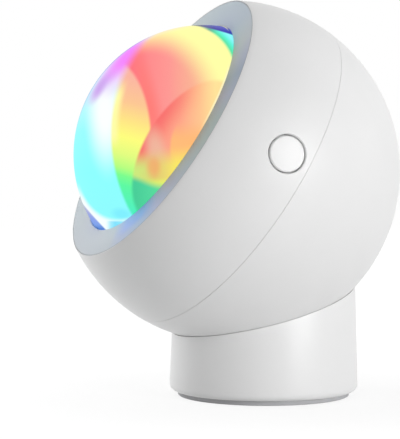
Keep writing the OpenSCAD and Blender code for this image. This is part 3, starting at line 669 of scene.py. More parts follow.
# %% Salmon and yellow
core = bands(across, (-19, (255, 112, 128)), (-14.5, (255, 136, 138)), (-9, (253, 150, 145)),
             (-4, (250, 172, 146)), (2, (252, 190, 145)))
warm = mix(smooth(oval((-15, 10), (18, 21.5)), 0.72, 1.2), core, (255, 255, 166))
warm = mix(inside((-13.6, 11), (1.9, 13), 15, 4) * 0.75, warm, (255, 118, 110))
top_corner = smooth(outline, 33.6, 36.2) * smooth(across, 0, -9)
warm = mix(top_corner * 0.8, warm, (255, 236, 205))
warm = mix(smooth(height, -8, -12), warm, (70, 240, 175))

# %% [markdown]
# ### The pointed oval
# Where the warm side overlaps the cool one, a pointed oval runs from peach at its top through yellow and
# lime to green. Its outer edge is the edge of the warm side: a circle, crisp below and softer above.

# %% The pointed oval
warm_r = 45.9
from_warm = oval((21.8, 5), (1, 1))
soft_top = 0.5 + 1.4 * smooth(height, 8, 26)
pointed = bands(height + 0.3 * across + 6, (-15, (75, 240, 190)), (-9, (88, 248, 160)),
                (-6.5, (120, 252, 140)), (-4.5, (180, 255, 125)), (-1, (225, 252, 125)),
                (3.5, (253, 253, 122)), (8, (254, 228, 130)), (13, (252, 198, 145)), (20, (250, 180, 160)))
pale_edge = smooth(from_warm, warm_r - 2.8, warm_r - 0.6) * smooth(height, 0, 5) * smooth(height, 20, 14)
pointed = mix(pale_edge, pointed, (255, 252, 165))
warm = mix(inside((-27, 2), (13.5, 24), 0, 1.0), warm, pointed)

# %% [markdown]
# ### The inner oval
# Behind the dome's right side a second oval shows, tilted along the front ring: a painted reflection of
# the ring's inside. It is red on its upper edge, orange towards the ring, and deep green at its lower end.

# %% The tilted inner oval
inner_oval = oval((-4.2, -0.2), (20.5, 11), 58)
inner = bands(across, (-12, (252, 150, 130)), (-6, (254, 165, 135)), (-1, (255, 196, 142)),
              (3, (255, 226, 152)))
inner = mix(smooth(inner_oval, 0.45, 1.0) * smooth(across, 2, -11) * 0.9, inner, (247, 104, 104))
inner = mix(inside((1.0, 0.5), (9.5, 11), 0, 1.0) * smooth(height, 8, 2), inner, (255, 186, 118))
inner = mix(inside((-12.2, 0.2), (2.2, 5), 12, 3.5) * 0.85, inner, (238, 186, 160))
low = bands(across, (-17, (204, 232, 122)), (-15, (212, 222, 120)), (-12.5, (226, 200, 110)),
            (-10, (234, 214, 112)), (-7, (250, 232, 100)))
inner = mix(smooth(height - 0.1 * across, 2.4, -3.6), inner, low)
inner = mix(inside((-12.8, -4.2), (1.6, 2.2), 0, 2.0) * 0.7, inner, (244, 166, 106))
lime = bands(across, (-17, (190, 225, 110)), (-9, (238, 242, 105)))
inner = mix(smooth(height, -6.6, -8.4), inner, lime)
green = bands(across, (-17.5, (66, 205, 150)), (-14, (78, 214, 156)), (-9, (96, 228, 150)))
green_top = height - 2.4 * smooth(across, -11, -20)
inner = mix(smooth(green_top, -7.8, -10.2), inner, green)
warm = mix(smooth(inner_oval, 1.04, 0.96), warm, inner)
glow = mix(smooth(from_warm, warm_r + soft_top, warm_r - soft_top), cool, warm)

# %% [markdown]
# ### The top of the rim
# Where the dome goes down behind the front ring, its thick edge bends the colours most. At the top they
# turn to turquoise and indigo.

# %% Top corner
from_yellow = oval((-8, 20), (1, 1)) - 16.1
corner = smooth(from_yellow, -0.5, 0.5) * smooth(across, -2, 2) * smooth(height, 22, 25)
turquoise = bands(from_yellow, (-0.5, (150, 235, 165)), (0.6, (85, 232, 172)), (1.5, (92, 248, 218)),
                  (2.6, (140, 250, 255)))
shade = smooth(across, 4.5, 1) * smooth(height, 31.5, 33.5)
glow = mix(corner, glow, mix(shade, turquoise, (95, 165, 150)))
lean = height + 0.34 * across
indigo = bands(across, (-5, (225, 225, 190)), (-2.5, (128, 132, 122)), (0, (100, 104, 146)),
               (3, (72, 70, 164)), (5.5, (56, 62, 182)), (7, (50, 66, 172)))
indigo = mix(smooth(lean, 35.0, 36.4) * 0.55, indigo, (116, 118, 205))
glow = mix(smooth(lean, 34.2, 34.8) * smooth(across, -5.5, -3), glow, indigo)

# %% [markdown]
# ### The foot of the dome
# At the bottom the rim shows white over blue. A thin pale line runs along the front ring.

# %% Foot of the dome and the line along the ring
below = smooth(height, -7, -13)
foot_edge = oval((-22.5, -5), (11.5, 12.6))
low_patch = inside((-21.6, -16.2), (2.4, 1.3), -8, 1.6)
glow = mix(low_patch * 0.5, glow, (108, 224, 255))
white_foot = smooth(foot_edge, 0.96, 1.1) * below * smooth(across, -17.5, -20.5)
glow = mix(white_foot, glow, (246, 255, 255))
under_foot = smooth(height, -17.9, -18.4) * smooth(across, -26.6, -24.6)
under_blue = bands(across, (-26, (190, 245, 255)), (-23.5, (128, 226, 255)), (-20, (150, 242, 255)))
glow = mix(under_foot, glow, under_blue)
down_left = 0 - across - height
blue_foot = smooth(down_left, 46.5, 47.3) * below
deep_blue = bands(height, (-20.3, (84, 132, 214)), (-19.2, (122, 160, 235)), (-17.5, (135, 160, 235)),
                  (-15.5, (165, 170, 218)), (-12.5, (198, 205, 216)))
glow = mix(blue_foot, glow, deep_blue)
pale_line = smooth(rise, 0.42, 0.12) * smooth(height, 4, 12) * smooth(across, 7, 6)
lens_glow.set(Emission_Color=mix(pale_line * 0.7, glow, (255, 248, 200)))
print("lens shader:", len(lens_glow.tree.nodes), "nodes")

# %% [markdown]
# ### The lens's shape
# The dome ends in a thick flange behind the ring, which the retainer presses against the gasket.

# %% Lens
flange_z = face_z - lip_t - 0.6
flange_r = opening_r + 2.5
lens_z = flange_z - 4
dome_edge = math.degrees(math.asin((face_z - dome_z) / dome_r))
lens_profile = (
    arc((0, dome_z), dome_r, 90, dome_edge, 40)
    + [(aperture_r, flange_z), (flange_r, flange_z), (flange_r, lens_z), (0, lens_z)]
)
piece("domed_lens", turned(lens_profile), in_head, lens_glow, "head", "lens", "lens")

# %% [markdown]
# ## Push button
# The button's top follows the ball, so it is a small patch of the same sphere with a bevelled edge. A
# gap of 0.35 mm round it shows as a dark ring. Its flange behind the shell keeps it from falling out.

# %% Push button
stem_r = 1.6
flange_out_r = button_hole_r + 0.9
flange_top = math.sqrt(inner_r ** 2 - flange_out_r ** 2) - slack
flange_under = flange_top - 0.8
stem_end = flange_under - 2
edge_r = button_r - button_bevel
edge_angle = math.degrees(math.acos(edge_r / ball_r))
button_profile = (
    [(0, stem_end), (stem_r, stem_end), (stem_r, flange_under), (flange_out_r, flange_under)]
    + [(flange_out_r, flange_top), (button_r, flange_top)]
    + [(button_r, math.sqrt(ball_r ** 2 - edge_r ** 2) - button_bevel)]
    + arc((0, 0), ball_r, edge_angle, 90, 8)
)
piece("push_button", turned(button_profile, 96), in_head @ to_button,
      button_white, "button", "button_white", "button_cap")

# %% [markdown]
# ## Base
# The base is a short cylinder with a slight draft and a rounded bottom edge. Its top is hollowed to the
# ball's own curve, and because the ball stands off-centre, the edge climbs from front to back. A sphere
# could cut that hollow, but the cut leaves a ragged loop that takes no bevel. So the top is turned as a
# flat disc, its points drop onto the seat's sphere, and the clean loop at the edge is then bevelled.

# %% Base
base_r, base_round, foot_t = 26.8, 2.0, 1.3
base_draft = math.radians(0.8)
seat_r = ball_r + 0.1
seat_t = 1.8
cavity_r = base_r - 3.2
ball_z = ball_centre.z / MM
ball_back = -ball_centre.y / MM


def seat_height(x, y, radius):
    """Height of the lower half of a sphere round the ball's centre."""
    return ball_z - math.sqrt(radius ** 2 - x ** 2 - (y + ball_back) ** 2)


top_flat, under_flat = 60.0, 50.0
top_r = base_r - (ball_z - 18 - foot_t) * math.tan(base_draft)
base_profile = (
    [(0, top_flat), (0, under_flat), (cavity_r, under_flat), (cavity_r, foot_t)]
    + arc((base_r - base_round, foot_t + base_round), base_round, -90, 0, 8)
    + [(top_r, top_flat)]
)
base_bm = turned(base_profile)
drop_to = {top_flat: seat_r, under_flat: seat_r + seat_t}
for level in drop_to:
    on_disc = [edge for edge in base_bm.edges if all(vert.co.z == level for vert in edge.verts)]
    spokes = [edge for edge in on_disc if abs(edge.verts[0].co.xy.length - edge.verts[1].co.xy.length) > 1]
    bmesh.ops.subdivide_edges(base_bm, edges=spokes, cuts=24, use_grid_fill=True)
for vert in base_bm.verts:
    if vert.co.z in drop_to:
        vert.co.z = seat_height(vert.co.x, vert.co.y, drop_to[vert.co.z])
base_bm.normal_update()
lip = [edge for edge in base_bm.edges
       if all(abs(vert.co.xy.length - top_r) < 0.01 for vert in edge.verts) and edge.verts[0].co.z > 5]
lip = [edge for edge in lip if abs(edge.verts[0].co.z - edge.verts[1].co.z) < 3]
bevel(base_bm, lip, 0.25, clamp=True)
base_shell = piece("base_housing", base_bm, in_base, shell_white, "base", "white_shell", "base_shell")

# %% [markdown]
# ### What the base holds
# A round groove in the seat takes the friction ring, and a pocket from below takes the magnet. Both lie
# under the ball, so they are turned about its upright and cut. The collar and the bosses are added. Their
# tops drop onto a sphere in the middle of the seat's wall, so they end inside it wherever they stand.

# %% Groove, magnet pocket, collar and bosses
def ring_places(angles, radius, z=0.0, turn=0.0):
    """Places round an axis. A turn of pi makes a screw point down."""
    turned_over = Matrix.Rotation(turn, 4, "X")
    return [Matrix.Rotation(math.radians(a), 4, "Z") @ Matrix.Translation((radius, 0, z)) @ turned_over
            for a in angles]


groove_in, groove_out, groove_r = 10.75, 13.25, seat_r + 1.08
pocket_r, pocket_top, plate_top = 9.5, 14.1, 3.5
under_ball = in_base @ Matrix.Translation((0, -ball_back, 0))
groove_ends = [-math.degrees(math.acos(r / groove_r)) for r in (groove_out, groove_in)]
groove_profile = [(groove_in, -40), (groove_out, -40)] + arc((0, 0), groove_r, *groove_ends, 6)
cut(base_shell, turned(groove_profile), under_ball @ Matrix.Translation((0, 0, ball_z)))
cut(base_shell, turned([(0, 0), (pocket_r, 0), (pocket_r, pocket_top), (0, pocket_top)]), under_ball)

base_shapes = [(boss(pocket_r + 1, 10.6, 15.0, pocket_r), under_ball)]
for place in ring_places(base_screw_angles, base_screw_r):
    for shape in (boss(boss_r, plate_top, top_flat), block((2.1, boss_r, 56.2), (2.55, 0, 31.9))):
        bmesh.ops.transform(shape, matrix=place, verts=shape.verts)
        for vert in shape.verts:
            if vert.co.z > under_flat:
                vert.co.z = seat_height(vert.co.x, vert.co.y, seat_r + seat_t / 2)
        base_shapes.append((shape, in_base))
add_inside(base_shell, *base_shapes)

# %% [markdown]
# ## Rubber and the foot pad
# Rubber is dull, so its roughness is high. Inside the lamp it collects fine dust, which shows as small
# pale specks. The foot pad is a clean disc, set back from the base's rounded edge.

# %% Rubber, and the foot pad
def rubber(name, dark, light, grain_mm, dust=0.35):
    finish = Finish(name, IOR=1.45)
    grain = finish.noise(grain_mm, 4.0)
    colour = finish.mix(finish.noise(9, 3.0), dark, light)
    if dust:
        specks = finish.smooth(finish.noise(0.8, 1.0), 0.72, 0.8) * dust
        colour = finish.mix(specks, colour, (186, 186, 186))
    finish.set(Base_Color=colour, Roughness=0.72 + 0.1 * grain, Normal=finish.bump(grain, 0.02, 0.5))
    return finish


foot_r, foot_edge_r = base_r - base_round - 0.4, 0.3
foot_curve = arc((foot_r - foot_edge_r, foot_edge_r), foot_edge_r, -90, 0, 4)
piece("foot_pad_grey", turned([(0, 0)] + foot_curve + [(foot_r, foot_t), (0, foot_t)]), in_base,
      rubber("foot_grey", (176, 176, 179), (194, 194, 196), 0.5, 0), "base", "rubber_grey", "foot_pad")

# %% [markdown]
# ## What is inside
# None of the inner pieces shows in the photograph, but a section, an open lamp or a closer look does
# show them. Where the CAD shape is right, its object stays, and only gets a finish in its slots. The
# chassis, the tray and the base plate are moulded as the shells are, only coarser: their moulds are
# eroded and never polished. The black switch parts are finer again.

# %% Inner plastics and rubber
def dress(finish, *nodes):
    """Puts a finish on CAD objects that stay."""
    for name in nodes:
        slots = frame["nodes"][name].data.materials
        slots.clear()
        slots.append(finish.material)
    print(finish.material.name, "on", ", ".join(nodes))


chassis_grey = moulded("chassis_grey", (110, 115, 122), 0.9, 0.55, 0.6, 0.02)
dress(chassis_grey, "chassis", "battery_tray", "lens_retainer")
dress(moulded("plate_grey", (150, 150, 152), 0.92, 0.6, 0.5, 0.02), "base_plate")
dress(moulded("switch_black", (44, 44, 47), 0.8, 0.5, 0.25, 0.01), "tact_switch", "switch_plunger")
ivory = moulded("socket_ivory", (228, 222, 205), 0.94, 0.42, 0.3, 0.006)
dress(rubber("gasket_rubber", (34, 34, 36), (48, 48, 50), 0.4), "lens_gasket")
dress(rubber("seat_ring_rubber", (40, 40, 43), (56, 56, 58), 0.3), "seat_ring")

# %% [markdown]
# ### Plated and cast metal
# Metal is told from plastic by Metallic 1 and by its roughness, because its colour is only what it
# mirrors. Plating is cloudy and finely scratched. The heat sink is extruded, so its marks all run along
# the fins. The magnet is nickel, bright with a few rubbed patches. The ballast is cast in sand and
# painted, so it is rough, and no longer a metal to look at.

# %% Metal pieces
def plated(name, dark, light, rough, stretch=(1, 1, 1), turn=0.0):
    finish = Finish(name, Metallic=1.0)
    clouds = finish.noise(5, 4.0, 0.6)
    scratches = finish.noise(0.25, 3.0, 0.7, stretch, turn)
    finish.set(Base_Color=finish.mix(clouds, dark, light), Roughness=rough + 0.16 * clouds * scratches,
               Normal=finish.bump(scratches, 0.004, 0.4))
    return finish


screw_steel = plated("screw_steel", (150, 151, 156), (192, 193, 197), 0.2)
dress(plated("zinc_plated_steel", (176, 178, 184), (203, 204, 208), 0.24), "keeper_cap", "magnet_cup")
dress(plated("nickel", (200, 198, 194), (226, 224, 219), 0.12), "magnet")
dress(plated("extruded_aluminium", (198, 200, 204), (222, 223, 226), 0.3, (30, 1, 1), head_turn), "heat_sink")

cast_paint = Finish("painted_cast_iron", IOR=1.5)
sand = cast_paint.noise(0.9, 5.0, 0.6)
worn = cast_paint.smooth(cast_paint.noise(3.5, 4.0, 0.6), 0.66, 0.74)
cast_paint.set(Base_Color=cast_paint.mix(worn, (66, 67, 70), (104, 88, 76)), Roughness=0.55 + 0.3 * worn,
               Metallic=worn * 0.5, Normal=cast_paint.bump(sand, 0.12, 0.6))
dress(cast_paint, "ballast")

# %% [markdown]
# ### Light cup and colour filter
# The cup is plastic with a mirror coating, faintly rippled as such coatings are. The filter is a clear
# disc whose coating lets other colours through at every distance from its middle, which the lens then
# spreads into its bands.

# %% Light cup and filter finishes
mirror = Finish("mirror_coating", Metallic=1.0, Base_Color=(236, 236, 240))
mirror.set(Roughness=0.06 + 0.08 * mirror.smooth(mirror.noise(7, 3.0), 0.5, 0.8),
           Normal=mirror.bump(mirror.noise(2.4, 2.0), 0.03, 0.3))

filter_film = Finish("filter_film", IOR=1.5, Coat_Weight=0.6)
ring_at = filter_film.off_axis() + 1.4 * filter_film.noise(9, 2.0)
filter_tint = filter_film.bands(ring_at, (0, (255, 120, 60)), (9, (255, 168, 60)), (15, (250, 225, 90)),
                                (21, (110, 230, 150)), (27, (70, 200, 240)), (33, (140, 90, 230)))
filter_film.set(Base_Color=filter_tint, Roughness=0.05 + 0.05 * filter_film.noise(1.5, 3.0))
dress(filter_film, "colour_filter")

# %% [markdown]
# ### Circuit boards
# A board is glass cloth under green lacquer. Copper tracks show as lighter lines through the lacquer, and
# bare pads shine. A Brick texture gives tracks that run and step as real ones do, and the fraction of a
# place on a 2.54 mm grid gives round pads. Both are kept to patches by noise.

# %% Circuit board finishes
def circuit(name, lacquer, track, u_axis, v_axis):
    finish = Finish(name, IOR=1.5)
    flat = finish.flat(finish.along(u_axis), finish.along(v_axis))
    sizes = {"Vector": flat, "Scale": 1.0, "Mortar Size": 0.16, "Brick Width": 6.35, "Row Height": 1.27}
    tracks = finish.node("ShaderNodeTexBrick", {"offset": 0.4}, sizes, "Fac")
    spot = finish.vector("FRACTION", finish.vector("DIVIDE", flat, (2.54, 2.54, 1)))
    from_pad = finish.vector("DISTANCE", spot, (0.5, 0.5, 0), output="Value")
    patches = finish.noise(5, 1.0)
    pads = finish.smooth(from_pad, 0.24, 0.2) * finish.smooth(patches, 0.55, 0.57)
    tracks = tracks * finish.smooth(patches, 0.62, 0.5)
    weave = finish.noise(0.2, 2.0)
    darker = [part * 0.85 for part in plain(lacquer)[:3]] + [1]
    board = finish.mix(tracks, finish.mix(finish.noise(11, 2.0), darker, lacquer), track)
    finish.set(Base_Color=finish.mix(pads, board, (214, 208, 190)), Metallic=pads * 0.9,
               Roughness=0.32 + 0.1 * weave, Normal=finish.bump(weave * 0.3 + tracks + pads, 0.03, 0.6))
    return finish


for name, u_axis, v_axis, node in (
    ("main_board_green", head_right, head_up, "main_board"),
    ("side_board_green", head_up, head_ahead, "switch_board"),
    ("socket_board_green", head_up, head_right, "socket_board"),
):
    dress(circuit(name, (24, 104, 62), (48, 138, 84), u_axis, v_axis), node)
dress(circuit("led_board_white", (232, 232, 226), (206, 206, 200), head_right, head_up), "led_board")

# %% [markdown]
# ### Leads
# Each pair is one red and one black lead. Both are in one CAD piece, side by side, so the finish tells
# them apart by the side of the pair's middle that a point lies on.

# %% Leads
def lead_pair(name, apart):
    finish = Finish(name, IOR=1.5)
    side = finish.smooth(finish.along(apart), -0.05, 0.05)
    finish.set(Base_Color=finish.mix(side, (36, 36, 38), (196, 34, 30)),
               Roughness=0.3 + 0.15 * finish.noise(1.2, 2.0),
               Normal=finish.bump(finish.noise(0.5, 2.0), 0.01, 0.4))
    return finish


dress(lead_pair("leads_side_by_side", head_up), "battery_leads", "switch_leads", "socket_leads")
dress(lead_pair("leads_to_led", head_right), "led_leads")

# %% [markdown]
# ### Charging socket
# The socket is a drawn steel shell with a black tongue in its middle. Both are one CAD piece, so the
# finish finds the tongue by its place: within 0.4 mm of the middle plane, and clear of the shell's ends.
# Squares of the distances do for both sides of the middle at once.

# %% Charging socket
socket_axes = (in_head @ to_socket).to_3x3()
socket_steel = Finish("socket_steel")
across_it, along_it = [socket_steel.along(socket_axes.col[number].normalized()) for number in (0, 1)]
tongue = socket_steel.smooth(across_it * across_it, 0.2, 0.16)
tongue = tongue * socket_steel.smooth(along_it * along_it, 11.5, 10.8)
drawn = socket_steel.noise(0.3, 3.0, 0.7, (12, 1, 1))
socket_steel.set(Base_Color=socket_steel.mix(tongue, (198, 199, 203), (30, 30, 32)), Metallic=1 - tongue,
                 Roughness=0.26 + 0.14 * drawn + 0.1 * tongue, Normal=socket_steel.bump(drawn, 0.004, 0.4))
dress(socket_steel, "charge_socket")

# %% [markdown]
# ## Screws
# All screws are M2. A plain cylinder with a plain head is only good enough for the CAD, so each screw is
# turned from a profile with a crowned head and thread ridges, and a cross is cut into its head. Rings
# stand in for the spiral, which needs many more faces and looks the same at this size.

# %% One screw
head_r, head_h = 1.8, 1.2
thread_r, core_r, pitch = 1.0, 0.82, 0.4


def screw(length):
    """A screw along +Z, with the underside of its head at 0, and a cross in its head."""
    thread = []
    for number in range(int(length / pitch) - 2, 0, -1):
        thread += [(core_r, pitch * number), (thread_r, pitch * (number - 0.5))]
    head = [(core_r, 0), (head_r, 0), (head_r, -0.25), (head_r - 0.12, -0.75)]
    crown = [(head_r - 0.5, -head_h + 0.12), (0.7, -head_h), (0, -head_h)]
    bm = turned([(0, length), (0.35, length - 0.1)] + thread + head + crown, 24)
    holder = bpy.data.objects.new("screw", to_mesh(bm, "screw", Matrix()))
    for size in ((2.0, 0.36, 1.2), (0.36, 2.0, 1.2)):
        cut(holder, block(size, (0, 0, -head_h)), Matrix())
    made = bmesh.new()
    made.from_mesh(holder.data)
    bpy.data.objects.remove(holder)
    return made


def screw_set(name, node, length, frame_of, places, body="head"):
    """Screws of one length, each at its own place, as one piece."""
    one = screw(length)
    whole = joined([(one, place) for place in places])
    return piece(name, whole, frame_of, screw_steel, body, "steel", node)


# %% [markdown]
# ### All the screws
# Most sets stand on a circle about the lens axis. The two side boards have a pair each, and the socket's
# pair lies across the rails that it enters.

# %% Sets of screws
chassis_z, led_front_z, main_board_z, tray_under_z, retainer_z = -1.0, -1.4, -17.0, -20.2, 13.7
for name, node, length, angles, radius, z, turn in (
    ("lens_retainer_screws", "retainer_screws", 6.2, (45, 135, 225, 315), 37.32, retainer_z, 0.0),
    ("led_board_screws", "led_screws", 4.1, (0, 180), 9.9, led_front_z, math.pi),
    ("sink_screws", "heat_sink_screws", 4.5, (30, 150, 270), 16, chassis_z, math.pi),
    ("chassis_plate_screws", "chassis_screws", 6.5,
     chassis_screw_angles, chassis_screw_r, chassis_z - 2, 0.0),
    ("main_board_screws", "board_screws", 7.7, (30, 150, 270), 30.48, tray_under_z, 0.0),
):
    screw_set(name, node, length, in_head, ring_places(angles, radius, z, turn))
screw_set("base_plate_screws", "base_screws", 5.5, in_base,
          ring_places(base_screw_angles, base_screw_r, 2.5), "base")
side_places = [Matrix.Translation((0, side * switch_screw_y, switch_board_s)) for side in (-1, 1)]
screw_set("switch_board_screws", "switch_screws", 6.1, in_head @ to_button, side_places)
lying = Matrix.Rotation(math.pi / 2, 4, "Y")
side_places = [Matrix.Translation((1.6, side * socket_screw_y, socket_screw_s)) @ lying for side in (-1, 1)]
screw_set("socket_board_screws", "socket_screws", 3.0, in_head @ to_socket, side_places)

# %% [markdown]
# ## Light source
# The LED is a white ceramic package with a round well of yellow phosphor under a clear dome.

# %% LED
led_w, led_h, led_dome_r = 5.0, 1.0, 2.1
led_finish = Finish("led_phosphor", IOR=1.41, Coat_Weight=0.8)
well = led_finish.smooth(led_finish.off_axis(), 1.75, 1.6)
specks = led_finish.noise(0.12, 2.0)
phosphor = led_finish.mix(specks, (236, 196, 60), (250, 222, 96))
led_finish.set(Base_Color=led_finish.mix(well, (236, 235, 230), phosphor), Roughness=0.18 + 0.2 * specks)
led_dome = turned([(0, 0.5), (led_dome_r, 0.5)] + arc((0, led_h), led_dome_r, 0, 90, 12), 48)
led_body = joined([block((led_w, led_w, led_h), (0, 0, led_h / 2), 0.15), led_dome])
piece("led_package", led_body, in_head @ Matrix.Translation((0, 0, led_front_z)),
      led_finish, "head", "led", "led_emitter")

# %% [markdown]
# ### Light cup
# The light runs up a mirrored cup. It is turned from a slightly bellied curve, a power of the height, so
# it sends the light forward.

# %% Light cup
throat_r, cup_mouth_r, cup_wall, flange_w = 4.2, 28.6, 1.2, 3.2
belly = 0.9
climb = [step / 24 for step in range(25)]
inner_wall = [
    (throat_r + (cup_mouth_r - throat_r) * t ** belly, led_front_z + (retainer_z - led_front_z) * t)
    for t in climb
]
outer_wall = [(r + cup_wall, z) for r, z in inner_wall if z < retainer_z - cup_wall]
cup_flange = [(cup_mouth_r + flange_w, retainer_z), (cup_mouth_r + flange_w, retainer_z - cup_wall)]
piece("light_cup_mirror", turned(inner_wall + cup_flange + outer_wall[::-1]), in_head,
      mirror, "head", "reflector", "light_cup")

# %% [markdown]
# ## Controller chip
# The chip is a bevelled block of black epoxy with a row of tinned feet on each side. The finish finds the
# feet by their place: they are all that lies outside the square of the block.

# %% Controller chip
chip_w, feet, foot_pitch = 7.0, 8, 0.75
chip_centre = (-10.5, -23.5)
chip_black = Finish("chip_epoxy", IOR=1.55)
chip_u, chip_v = [chip_black.along(axis) - at for axis, at in zip((head_right, head_up), chip_centre)]
reach = chip_u.sum("MAXIMUM", chip_u * chip_u, chip_v * chip_v)
tin = chip_black.smooth(reach, (chip_w / 2 - 0.05) ** 2, (chip_w / 2) ** 2)
epoxy = chip_black.noise(0.15, 3.0)
chip_black.set(Base_Color=chip_black.mix(tin, (34, 34, 36), (205, 204, 200)), Metallic=tin,
               Roughness=0.5 - 0.2 * tin + 0.15 * epoxy, Normal=chip_black.bump(epoxy, 0.01, 0.5))

chip_parts = [block((chip_w, chip_w, 0.85), (0, 0, 0.575), 0.12)]
for side in range(4):
    for number in range(feet):
        foot = block((0.3, 1.1, 0.14), ((number - (feet - 1) / 2) * foot_pitch, chip_w / 2 + 0.2, 0.1))
        chip_parts.append((foot, Matrix.Rotation(side * math.pi / 2, 4, "Z")))
piece("controller_chip_body", joined(chip_parts), in_head @ Matrix.Translation((*chip_centre, main_board_z)),
      chip_black, "head", "black_plastic", "controller_chip")

# %% [markdown]
# ## Driver coil
# The coil has copper wire wound on a ferrite drum: each turn of wire is one bump in the turned profile.

# %% Driver coil
coil_w, drum_r, drum_top, wire_r, wire_turns = 7.0, 3.0, 2.8, 0.14, 6
wound_low, wound_high = 0.62, 2.36
coil_finish = Finish("wound_coil", IOR=1.5)
over_board = coil_finish.along(head_ahead) - main_board_z
copper = coil_finish.smooth(over_board, wound_low, 0.66) * coil_finish.smooth(over_board, wound_high, 2.32)
ferrite = coil_finish.noise(0.4, 4.0)
coil_finish.set(Base_Color=coil_finish.mix(copper, (58, 58, 62), (206, 112, 62)), Metallic=copper,
                Roughness=0.55 - 0.25 * copper + 0.2 * ferrite, Normal=coil_finish.bump(ferrite, 0.02, 0.4))
windings = []
for number in range(wire_turns):
    windings += arc((drum_r - 0.3, 0.64 + wire_r * (2 * number + 1)), wire_r, -80, 80, 4)
drum_profile = [(0, 0.4), (drum_r, 0.4), (drum_r, wound_low)] + windings
drum = turned(drum_profile + [(drum_r, wound_high), (drum_r, drum_top), (0, drum_top)], 48)
coil_body = joined([block((coil_w, coil_w, 0.6), (0, 0, 0.3), 0.12), drum])
piece("driver_coil_wound", coil_body, in_head @ Matrix.Translation((14.0, -22.0, main_board_z)),
      coil_finish, "head", "black_plastic", "driver_coil")

# %% [markdown]
# ## Wire sockets
# Each socket has a step round it, where the two halves of the real ones clip together. Three stand on the
# front of the main board, and the battery's stands on its back.

# %% Wire sockets
def wire_socket():
    """A 6 by 4 by 3 mm socket with a step round its middle, standing on its board."""
    bm = block((6, 4, 3), (0, 0, 1.5))
    top = [face for face in bm.faces if face.normal.z > 0.9]
    bmesh.ops.inset_region(bm, faces=top, thickness=0.35, depth=0)
    walls = [face for face in bm.faces if abs(face.normal.z) < 0.1]
    bmesh.ops.inset_individual(bm, faces=walls, thickness=0.5, depth=-0.2)
    bevel(bm, list(bm.edges), 0.08, 2)
    return bm


board_t = 1.6
quarter = Matrix.Rotation(math.pi / 2, 4, "Z")
face_down = Matrix.Rotation(math.pi, 4, "X")
socket_places = [
    Matrix.Translation((0, 24.5, main_board_z)),
    Matrix.Translation((31, 0, main_board_z)) @ quarter,
    Matrix.Translation((-31, 0, main_board_z)) @ quarter,
    Matrix.Translation((30, 0, main_board_z - board_t)) @ face_down @ quarter,
]
piece("wire_socket_set", joined([(wire_socket(), place) for place in socket_places]), in_head,
      ivory, "head", "wire_socket", "wire_sockets")

# %% [markdown]
# ## Battery
# The battery is a soft foil pouch. Its body is a block with generous bevels, its sealed end is a thin
# step, and amber tape wraps that step where the leads come out. The foil is creased, which bump shows.

# %% Battery
cell_l, cell_w, cell_t, sealed_end = 44.0, 34.0, 8.0, 3.0
foil = Finish("battery_foil")
tape_edge = cell_l / 2 - sealed_end
tape = foil.smooth(foil.along(head_right), tape_edge - 1.2, tape_edge - 1.0)
creases = foil.noise(4, 5.0, 0.65)
silver = foil.mix(creases, (176, 178, 182), (206, 207, 210))
foil.set(Base_Color=foil.mix(tape, silver, (196, 128, 40)), Metallic=1 - tape, Roughness=0.3 + 0.2 * creases,
         Coat_Weight=tape * 0.5, Normal=foil.bump(creases, 0.25, 0.5))
pouch = block((cell_l - sealed_end, cell_w, cell_t), (-sealed_end / 2, 0, -cell_t / 2), 1.6)
seal = block((sealed_end + 2, cell_w - 4, 3), (cell_l / 2 - (sealed_end + 2) / 2, 0, -cell_t / 2), 0.4)
piece("battery_pouch", joined([pouch, seal]), in_head @ Matrix.Translation((0, 0, tray_under_z)),
      foil, "head", "cell", "battery")

# %% [markdown]
# ## Floor
# The photograph is a studio picture on white. The floor is white near the lamp, where it takes a soft
# shadow, and fades into the white world further out.

# %% Floor
floor_paint = Finish("floor_paint", Base_Color=[0.82, 0.82, 0.82, 1], Roughness=0.9, Specular_IOR_Level=0.0)
fade = floor_paint.smooth(floor_paint.length(floor_paint.place), 0.03, 0.12)
both = floor_paint.node("ShaderNodeMixShader", {}, {
    0: floor_paint.seen() * (0.8 + 0.2 * fade),
    1: Shade(floor_paint, floor_paint.shader.outputs[0]),
    2: floor_paint.node("ShaderNodeEmission", {}, {"Color": [1, 1, 1, 1], "Strength": 1.06}),
})
floor_paint.feed(floor_paint.tree.nodes["Material Output"].inputs["Surface"], both)

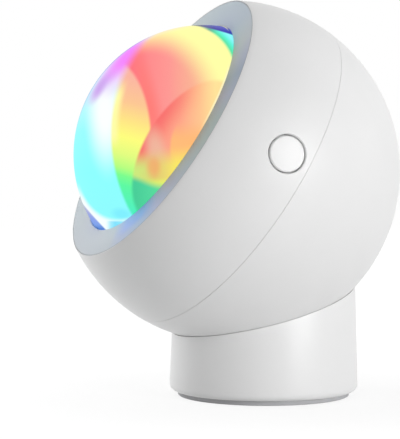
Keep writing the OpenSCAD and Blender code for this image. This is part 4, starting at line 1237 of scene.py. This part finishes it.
floor_bm = bmesh.new()
bmesh.ops.create_circle(floor_bm, cap_ends=True, segments=96, radius=3)
floor = bpy.data.objects.new("floor", to_mesh(floor_bm, "floor", Matrix()))
bpy.context.scene.collection.objects.link(floor)
floor.data.materials.append(floor_paint.material)
print("floor shader:", len(floor_paint.tree.nodes), "nodes")

# %% [markdown]
# ## World
# The world is white where it is seen or mirrored. As light it gives only a fifth of that, evenly from all
# sides, so that the lamps can shape the ball.

# %% World
world = bpy.data.worlds.new("studio")
bpy.context.scene.world = world
world.use_nodes = True
studio = Graph(world.node_tree)
background = studio.tree.nodes["Background"]
background.inputs["Strength"].default_value = 1.0
studio.feed(background.inputs["Color"], studio.mix(studio.seen(), [0.2, 0.2, 0.2, 1], [1, 1, 1, 1]))
print("world shader:", len(studio.tree.nodes), "nodes")

# %% [markdown]
# ## Lamps
# Six soft lamps shape the ball. The one at the front right is the key: it shows as a broad sheen beside
# the button. The one at the left lights the front ring's side. Three from above and one from behind fill
# the shades, and only the key is mirrored in the plastic.

# %% Lamps
def soft_lamp(name, place, watts, size=0.7, mirrored=False):
    light = bpy.data.lights.new(name, "AREA")
    light.shape = "DISK"
    light.size = size
    light.energy = watts
    lamp = bpy.data.objects.new(name, light)
    bpy.context.scene.collection.objects.link(lamp)
    lamp.location = place
    lamp.rotation_mode = "QUATERNION"
    lamp.rotation_quaternion = (ball_centre - Vector(place)).to_track_quat("-Z", "Y")
    lamp.visible_glossy = mirrored
    print(name, watts, "W")


soft_lamp("lamp_front_right", (0.85, 0.25, 0.19), 4.7, 0.44, True)
soft_lamp("lamp_left", (-0.71, -0.54, 0.22), 5.0)
soft_lamp("lamp_above_left", (-0.46, -0.36, 0.75), 1.9)
soft_lamp("lamp_above_right", (-0.07, 0.62, 0.70), 1.7)
soft_lamp("lamp_above_front", (0.58, -0.27, 0.70), 0.3)
soft_lamp("lamp_behind", (-0.80, 0.34, 0.22), 0.5)

# %% [markdown]
# ## Colours
# Colours are shown as they are, with no film look laid over them.

# %% Show colours as they are
bpy.context.scene.view_settings.view_transform = "Standard"
